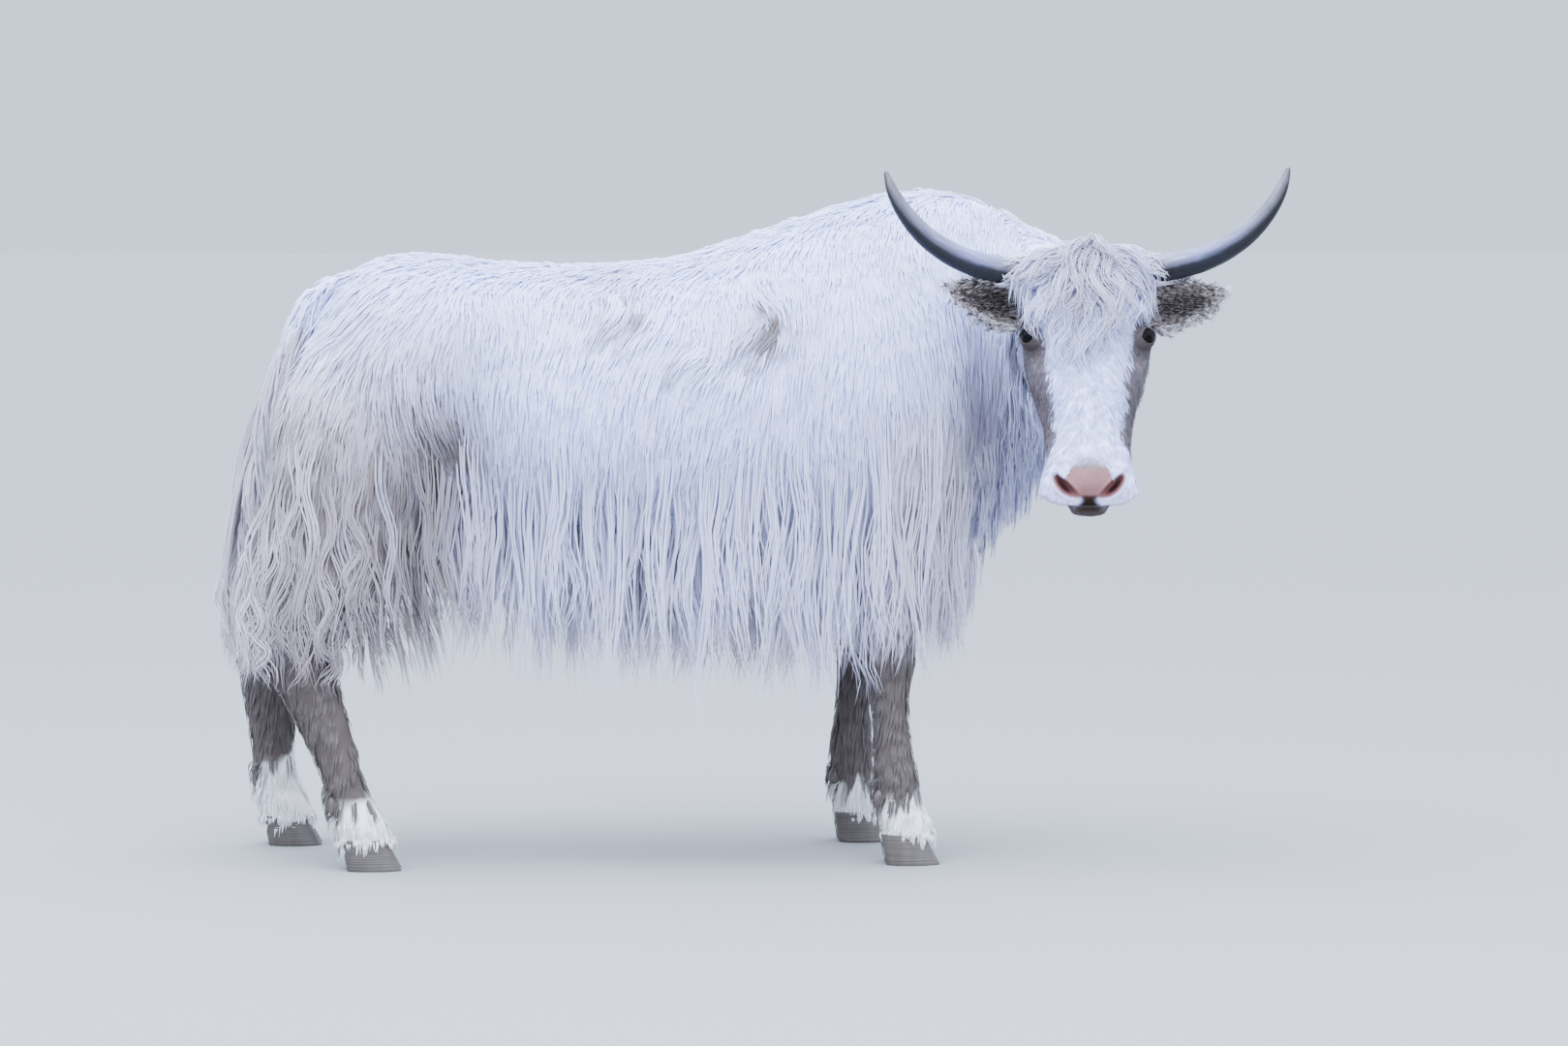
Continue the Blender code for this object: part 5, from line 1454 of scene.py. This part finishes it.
def upwards(least, more):
    """A rule that draws evenly between least and least + more."""
    return lambda root, out, draw: least + more * draw(0, 1)


def thigh_length(root, out, draw):
    """Down to the thigh's longest ends, and a little further at its front edge."""
    return np.maximum(root[:, 2] - THIGH_TIPS + 0.035 * foremost(root), 0.10) * draw(0.66, 1.03)


for seed, (side, word) in enumerate(SIDES):
    leg = legs[f"hind_leg_{word}"]
    dice = np.random.default_rng(200 + seed)
    _, y_, z_ = split(leg.points)
    outer = ~inside_trunk(leg.points, 0.86) * (smooth(y_ * side, 0.13, 0.18) * 0.75 + 0.25)
    front = 1 + 1.2 * smooth(leg.sheet[..., 3], 0.2, 0.7)
    short = grown(leg, dice, 440, outer * smooth(z_, 0.46, 0.56),
                  over_height(0.120, 0.150, 0.85, 0.60, 0.7, 1.3), even(0.009, 0.4, 1.2), leg_lie, 3,
                  (8, 0.016, 0.002, 0.0036), gather=0.3, frizz=0.003, roll=0.25, stiff=0.15)
    long = grown(leg, dice, 92, outer * smooth(z_, 0.43, 0.49) * (1 - smooth(z_, 0.76, 0.90)) * front,
                 thigh_length, upwards(0.012, 0.014), hanging_lie, 14,
                 (8, 0.017, 0.008, 0.0034), fall=2.2, hold=0.0, wave=(0.0145, 2.0),
                 bend=lambda root: 0.060 * foremost(root), gather=0.50, frizz=0.007, roots=0.15,
                 tips=(0.80, 1.0), roll=0.9)
    long["tint"] = mixed(long["tint"], CREAM, 0.20)
    coat_piece(f"coat_thigh_{word}", [short, long], sleek=True)

dice = np.random.default_rng(210)
station = np.linspace(0, 1, tail.area.shape[0])[:, None]
facing = np.maximum(tail.sheet[..., 3] * -1, abs(tail.sheet[..., 4]))
rear_half = (0.35 + 0.65 * smooth(facing, 0.0, 0.5)) * (0.5 + station) * (station > 0.16)
bush = grown(tail, dice, 150, rear_half,
             lambda root, out, draw: root[:, 2] - TAIL_TIPS - 0.02 + draw(-0.10, 0.02),
             lambda root, out, draw: (0.034 + 0.050 * abs(out[:, 1])) * draw(0.10, 1.0), tail_lie, 8,
             (11, 0.019, 0.010, 0.0050), fall=1.0, hold=0.0, wave=(0.006, 1.4), gather=0.25,
             frizz=0.008, roots=0.08, tips=(0.78, 1.0), roll=1.5)
dock = grown(tail, dice, 100, (station < 0.7) * np.ones_like(facing), even(0.10, 0.8, 1.3),
             even(0.010, 0.5, 1.3), tail_lie, 4, (8, 0.012, 0.004, 0.0040), frizz=0.004)
bush["tint"] = mixed(bush["tint"], CREAM * 0.72, 0.8)
coat_piece("coat_tail", [bush, dock], sleek=True)

# ================================================================ the skirt and the throat
# A fringe of long, nearly straight hair hangs from the lower flanks, the breast and the underside of the
# neck. Its roots lie in a band up the flank and its locks differ in length, so that its edge is ragged.
SKIRT_TIPS, BREAST_TIPS = 0.265, 0.37
turn_ = np.degrees(around(trunk.area.shape[1]))[None, :]
station_ = STATIONS[:, None]


def skirt_length(root, out, draw):
    """Down to the skirt's lower edge, which rises to its front and rear ends."""
    x, _, z = split(root)
    ends = 0.06 * abs((x + 0.06) / 0.49) ** 4 + 0.04 * smooth(-x, 0.48, 0.60)
    return (z - SKIRT_TIPS - ends) * draw(0.72, 1.03)


def skirt_lift(root, out, draw):
    """Most for the locks of the skirt's lower tier, and less for those that start up the flank."""
    return (0.009 + 0.016 * draw(0, 1)) * (1 - 0.65 * smooth(root[:, 2], 0.56, 0.70))


for seed, (side, word) in enumerate(SIDES):
    lower = (360 - turn_) if side > 0 else (turn_ - 180)
    band = smooth(lower, -30, 34) * (1 - smooth(lower, 62, 74))
    band = band * smooth(station_, -0.63, -0.54) * (1 - smooth(station_, 0.38, 0.44))
    hair = grown(trunk, np.random.default_rng(220 + seed), 174, band * ~inside_leg(trunk.points, 0.8),
                 skirt_length, skirt_lift, hanging_lie, 6, (13, 0.030, 0.008, 0.0040), fall=1.6, hold=0.0,
                 wave=(0.014, 1.5), gather=0.50, frizz=0.009, roots=0.20, tips=(0.70, 1.0), roll=1.0)
    hair["tint"] = mixed(hair["tint"], CREAM, 0.40)
    coat_piece(f"coat_skirt_{word}", [hair], (f"skirt_{word}",), sleek=True)

dice = np.random.default_rng(230)
below = abs(turn_ - 270)
breast = (1 - smooth(below, 50, 70)) * smooth(station_, 0.31, 0.35) * (1 - smooth(station_, 0.40, 0.43))
throat = (1 - smooth(below, 60, 90)) * smooth(station_, 0.43, 0.48) * (1 - smooth(station_, 0.77, 0.80))
coat_piece("coat_breast_and_throat", [
    grown(trunk, dice, 95, breast * ~inside_leg(trunk.points, 0.8),
          lambda root, out, draw: (root[:, 2] - BREAST_TIPS) * draw(0.70, 1.05), upwards(0.008, 0.018),
          hanging_lie, 6, (9, 0.022, 0.008, 0.0044), fall=2.5, hold=0.0, wave=(0.006, 1.5), gather=0.4,
          frizz=0.006, roots=0.15, roll=1.0),
    grown(trunk, dice, 150, throat * ~inside_head(trunk.points), even(0.120, 0.7, 1.2),
          upwards(0.008, 0.010), hanging_lie, 5, (10, 0.014, 0.006, 0.0036), fall=2.0, hold=0.1,
          wave=(0.004, 1.2), gather=0.4, frizz=0.005, roots=0.2, roll=0.9),
])

# ================================================================ the short hair of the legs
# Below the thigh and the elbow the hair is short and close, with a tuft behind each fetlock and a
# fringe over the top of the claws.
dice = np.random.default_rng(240)
batches = []
for name, leg in legs.items():
    count, reach = (400, 0.70) if name.startswith("fore") else (330, 0.56)
    z_ = leg.points[..., 2]
    short = (1 - smooth(z_, reach - 0.06, reach)) * smooth(z_, 0.052, 0.056)
    batches.append(grown(
        leg, dice, count, ~inside_trunk(leg.points, 0.95) * short,
        over_height(0.046, 0.070, 0.36, 0.55, 0.8, 1.3), over_height(0.0014, 0.0074, 0.40, 0.60, 0.6, 1.3),
        leg_lie, 2, (5, 0.009, 0.0008, 0.0046), gather=0.15, frizz=0.001, roots=0.2, roll=0.10, stiff=0.10,
        sink=0.0008))
    tuft = smooth(-leg.sheet[..., 3], 0.3, 0.8) * (z_ > 0.11) * (z_ < 0.165)
    fringe = (z_ > 0.056) * (z_ < 0.068) * 1.0
    for density, count, size, stand in ((tuft, 26, 0.040, 0.010), (fringe, 46, 0.020, 0.004)):
        batches.append(grown(leg, dice, count, density, even(size, 0.8, 1.25), even(stand, 0.5, 1.2),
                             leg_lie, 3, (7, 0.007, 0.003, 0.0026), fall=0.6, hold=0.3, frizz=0.002))
for batch in batches:
    batch["tint"] = batch["tint"] * (0.86 + 0.24 * dice.uniform(0, 1, (len(batch["tint"]), 1)))
coat_piece("coat_legs", batches, sleek=True)

# ================================================================ the hair of the head and ears
# The face has short hair that fans out from the middle line. From the poll a parted, wavy forelock
# falls over the forehead and sweeps over the roots of the horns. The ears are dark and hairy inside
# and fringed with fair hair.


def sideways(s):
    """-1 to 1 across the middle line of the face."""
    return s / (abs(s) + 0.010)


def face_lie(place, out, row):
    """Down the face and aside from its middle line, then back along the cheek and jaw."""
    a, o, s = split(of_head(place))
    fan = 0.95 * smooth(o, 0.0, 0.04) * (0.4 + 0.6 * smooth(a, 0.10, 0.16))
    fan = fan * (1 - 0.4 * smooth(a, 0.37, 0.42))
    cheek = 0.7 * smooth(-o, 0.0, 0.05)
    way = stacked(1.0 - 0.35 * cheek, -cheek, fan * sideways(s)) @ HEAD_AXES
    return way + np.cross(way, out) * (0.09 * ripple(place, 0.05, 11))[..., None]


def near_eye(root):
    """How much of its length and lift the hair keeps beside the eyes."""
    a, o, s = split(of_head(root))
    beside_eye = np.linalg.norm(stacked(a, o, abs(s)) - EYE_PLACE, axis=-1)
    return 0.4 + 0.6 * smooth(beside_eye, 0.030, 0.055)


def face_length(root, out, draw):
    """Longest at the poll and the jaw, shortest on the muzzle."""
    a, o, _ = split(of_head(root))
    size = np.interp(a, (-0.05, 0.10, 0.20, 0.34, 0.40, 0.46), (0.036, 0.033, 0.030, 0.024, 0.015, 0.011))
    return (size + 0.014 * smooth(-o, 0.03, 0.10)) * draw(0.8, 1.25) * near_eye(root)


def face_lift(root, out, draw):
    """Close on the face, and standing off the jaw."""
    a, o, _ = split(of_head(root))
    close = (0.0013 - 0.0004 * smooth(a, 0.30, 0.40)) * draw(0.6, 1.3)
    jaw = 0.010 * smooth(-o, 0.03, 0.09) * (1 - smooth(a, 0.30, 0.36)) * draw(0.3, 1.2)
    return (close + jaw) * near_eye(root)


def face_width(root):
    """The strands' width, finer towards the muzzle."""
    return 0.0022 - 0.0007 * smooth(split(of_head(root))[0], 0.3, 0.42)


face = face_parts(head.points)
a_, o_, s_ = split(of_head(head.points))
haired = (a_ < 0.466) * (1 - 0.85 * face["mouth"]) * (1 + 0.8 * smooth(o_, -0.02, 0.03))
haired = haired * ~(inside_trunk(head.points) & (a_ < 0.2))
for name, most in (("lips", 0.5), ("pad", 0.3), ("ring", 0.12), ("rim", 0.1), ("slit", 0.2)):
    haired = haired * (face[name] < most)
for side in (1, -1):
    _, _, l_, inner_ = eye_cover(of_head(head.points), side)
    haired = haired * ((inner_ < -0.0100) | (l_ < 0))
ear_root = bell((a_ - 0.058) / 0.022, (o_ + 0.045) / 0.03, power=2) * (abs(s_) > 0.08)
FACE_LOCKS, FACE_STRANDS = 2350, 5
dice = np.random.default_rng(300)
short = grown(head, dice, FACE_LOCKS, haired * (1 - ear_root), face_length, face_lift, face_lie, 2,
              (FACE_STRANDS, 0.0075, 0.0003, face_width), gather=0.3, frizz=0.0008, roots=0.3, roll=0.05,
              stiff=0.08, sink=0.0006)
# Painted shade: random locks and strands of the face are darkened, bluish, as the shadows between its
# tufts.
shadow = np.repeat(dice.uniform(0, 1, (FACE_LOCKS, 1)) ** 3, FACE_STRANDS, axis=0)
shadow = 0.5 * shadow + 0.5 * dice.uniform(0, 1, shadow.shape) ** 3
short["tint"] = short["tint"] * (1 - shadow * np.array((0.78, 0.70, 0.52)))
coat_piece("coat_face", [short], sleek=True)

FORELOCK, BESIDE_PARTING = 0.205, 0.035    # longest hair, and how far from the middle line it grows


def forelock_lie(place, out, row):
    """From the parting at the poll down the forehead, and more and more aside away from it."""
    a, _, s = split(of_head(place))
    high = 1 - smooth(a, 0.02, 0.07)
    sweep = 0.25 + 1.6 * smooth(abs(s), 0.020, 0.075) * high
    down = 1.0 - 0.55 * smooth(abs(s), 0.030, 0.080) * high
    curl = 0.8 * bell((a - 0.135) / 0.03, (s - 0.03) / 0.03)
    return stacked(down, 0.10, sweep * sideways(s) - curl) @ HEAD_AXES


def forelock_length(root, out, draw):
    """Long beside the parting, and cut short enough to end above the eyes."""
    a, _, s = split(of_head(root))
    length = np.where(abs(s) < BESIDE_PARTING, FORELOCK, 0.110) * draw(0.70, 1.1)
    return np.minimum(length, FORELOCK - a * 0.6 - 1.1 * np.maximum(abs(s) - BESIDE_PARTING, 0))


def forelock_lift(root, out, draw):
    """Highest at the parting on the poll."""
    a, _, s = split(of_head(root))
    high = bell(s / 0.032) * smooth(-a, -0.02, 0.03)
    return 0.007 + (0.008 + 0.030 * high) * draw(0, 1) * (1 - 0.5 * smooth(a, 0.0, 0.08))


dice = np.random.default_rng(312)
crown = smooth(a_, -0.052, -0.045) * (1 - smooth(a_, 0.06, 0.09)) * smooth(o_, -0.05, 0.0)
crown *= bell(s_ / (0.080 - 0.25 * np.clip(a_, 0, 0.1)), power=3) * (abs(s_) < 0.080)
crown = crown * (1 + 1.5 * (a_ < 0.01)) * (1 + 2.0 * bell(s_ / 0.02))
fore = grown(head, dice, 135, crown, forelock_length, forelock_lift, forelock_lie, 11,
             (11, 0.0115, 0.005, 0.0023), wave=(0.0135, 1.5), gather=0.30, frizz=0.0045, roots=0.12,
             tips=(0.7, 1.0), roll=0.8)
a, _, s = split(of_head(fore["root"]))
parting = bell(s / 0.024) * (1 - smooth(a, -0.02, 0.01))
fore["tint"] = mixed(mixed(fore["tint"], CREAM, 0.18), CHEEK_TAN * 5, 0.40 * parting)


def sleeve_lie(place, out, row):
    """Along the horn and down."""
    return 0.55 * unit(row) + 0.85 * DOWN


sleeves = []
for side, reach in ((1, 0.10), (-1, 0.15)):
    sheathed = Ground(horn_points(side)[0])
    share = np.linspace(0, 1, sheathed.area.shape[0])[:, None]
    root_end = (share > 0.01) * (share < reach) * np.ones_like(sheathed.area)
    sleeves.append(grown(
        sheathed, dice, 50, root_end, even(0.040, 0.6, 1.2), upwards(0.002, 0.004), sleeve_lie, 4,
        (8, 0.010, 0.004, 0.0030), wave=(0.003, 1.3), gather=0.3, frizz=0.003, roots=0.15, tips=(0.6, 1.0),
        roll=0.8))
    sleeves[-1]["tint"] = np.broadcast_to(WHITE_WITH_PAINTED_SKY_CAST * 0.35 + CREAM * 0.65, sleeves[-1]["tint"].shape)
coat_piece("coat_forelock", [fore, *sleeves])

EAR_RIM = np.array((0.190, 0.158, 0.150))


def ear_lie(side, onward, upward, down=0.0):
    """A way that goes by so much on to the ear's tip, up across it, and down."""
    _, along, _, high = ear_frame(side)
    return lambda place, out, row: along * onward + high * upward + down * DOWN + 0 * place


dice = np.random.default_rng(320)
batches = []
for side, word in SIDES:
    leaf = ears[word]
    share, across, depth = ear_measures(leaf.points, side)
    within = (depth > 0) * (abs(across) < 0.9)
    # locks, where, length, lift, strand width, way, colour: inside, behind, lower edge, upper edge, tip
    for count, density, size, stand, width, way, tone in (
        (190, within * (share > 0.05), 0.022, 0.006, 0.0024, (1.0, -0.25, 0.2), None),
        (110, (1.0 - within) * (share > 0.0), 0.026, 0.005, 0.0028, (1.0, -0.25, 0.2), CREAM),
        (80, (across < -0.70) * (share > 0.12), 0.036, 0.005, 0.0026, (0.85, -0.70), CREAM * 1.1),
        (60, (across > 0.75) * (share > 0.15), 0.026, 0.004, 0.0024, (0.95, 0.45), CREAM * 0.50),
        (44, share > 0.86, 0.022, 0.004, 0.0024, (0.95, 0.45), CREAM * 1.1),
    ):
        inside = tone is None
        hair = grown(leaf, dice, count, density, even(size, 0.7, 1.3), even(stand, 0.4, 1.3),
                     ear_lie(side, *way), 3, (5, 0.006, 0.003, width), gather=0.3, frizz=0.0025,
                     roots=0.2, roll=0.8)
        if inside:
            at, off, _ = ear_measures(hair["root"], side)
            edge = smooth(np.hypot((at - 0.5) / 0.5, off + 0.1), 0.35, 0.90)
            # Painted glints: a few strands inside each ear are painted up to 3.5 times brighter, as
            # highlights.
            glints = 1 + 2.5 * dice.uniform(0, 1, (len(edge), 1)) ** 5
            tone = mixed(EAR_BROWN * 1.2, EAR_RIM, edge) * glints
        hair["tint"] = tone * (0.85 + 0.3 * dice.uniform(0, 1, (len(hair["tint"]), 1)))
        # only the hairs inside the cup may pass over its leaf
        at, off, deep = ear_measures(hair["points"], side)
        crossing = (deep > 0.001) & (abs(off) < 0.75) & (at > 0.05) & (at < 0.92)
        kept = ~crossing.any(axis=1) | inside
        batches.append({key: held[kept] for key, held in hair.items()})
coat_piece("coat_ears", batches)

# ================================================================ floor, light and camera
# A plain pale floor under a soft, high light with a cool cast, as on an overcast mountain day.
CAMERA_AIM = np.array((0.076, 0.106, 0.611))
CAMERA_AWAY, CAMERA_TURN, CAMERA_RISE = 12.0, math.radians(-4), math.radians(4.5)
FRAME_WIDTH, SENSOR = 1619, 36.0             # pixels and millimetres
PIXELS_PER_METRE = 560.0

pale_floor = new_finish("pale_floor", 0.9, 0.2)
pale_floor.surface(Base_Color=(0.224, 0.224, 0.226, 1))
FLOOR_HALF = 30
floor_mesh = bpy.data.meshes.new("floor")
corners = [(x * FLOOR_HALF, y * FLOOR_HALF, 0) for x, y in ((-1, -1), (1, -1), (1, 1), (-1, 1))]
floor_mesh.from_pydata(corners, [], [(0, 1, 2, 3)])
floor_mesh.materials.append(pale_floor.owner)
placed("floor", floor_mesh)

overcast = Finish(bpy.data.worlds.new("overcast"))
height = overcast.parts(overcast.node("TexCoord", "Generated", {}))["Z"]
overcast.fill(overcast.tree.nodes["Background"], {
    "Color": (0.70, 0.80, 1.0, 1), "Strength": overcast.remap(height, 0.05, 0.8, 1.55, 8.2)})
bpy.context.scene.world = overcast.owner


def standing(place, right, up, back):
    """The matrix of a thing at place whose own axes are right, up and back."""
    rows = np.eye(4)
    rows[:3] = np.stack([right, up, back, place], axis=1)
    return Matrix(rows.tolist())


def area_light(name, place, aim, size, power, colour):
    """A square lamp that looks at its aim."""
    lamp = bpy.data.lights.new(name, "AREA")
    lamp.size, lamp.energy, lamp.color = size, power, colour
    away = unit(np.asarray(place, float) - np.asarray(aim, float))
    right = unit(np.cross((0, 0, 1.0), away))
    placed(name, lamp).matrix_world = standing(place, right, np.cross(away, right), away)


area_light("sky", (-1.2, -1.0, 4.5), (0.0, 0.0, 0.6), 3.5, 580, (0.75, 0.85, 1.0))
area_light("front", (1.5, -5.0, 2.6), (0.2, 0.0, 0.6), 3.0, 290, (0.83, 0.89, 1.0))

camera = bpy.data.cameras.new("camera")
camera.sensor_width = SENSOR
camera.lens = SENSOR * PIXELS_PER_METRE * CAMERA_AWAY / FRAME_WIDTH
level_back = np.array((math.sin(CAMERA_TURN), -math.cos(CAMERA_TURN), 0.0))
back = level_back * math.cos(CAMERA_RISE) + np.array((0, 0, math.sin(CAMERA_RISE)))
right = np.array((math.cos(CAMERA_TURN), math.sin(CAMERA_TURN), 0.0))
view = placed("camera", camera)
view.matrix_world = standing(CAMERA_AIM + back * CAMERA_AWAY, right, np.cross(back, right), back)
bpy.context.scene.camera = view
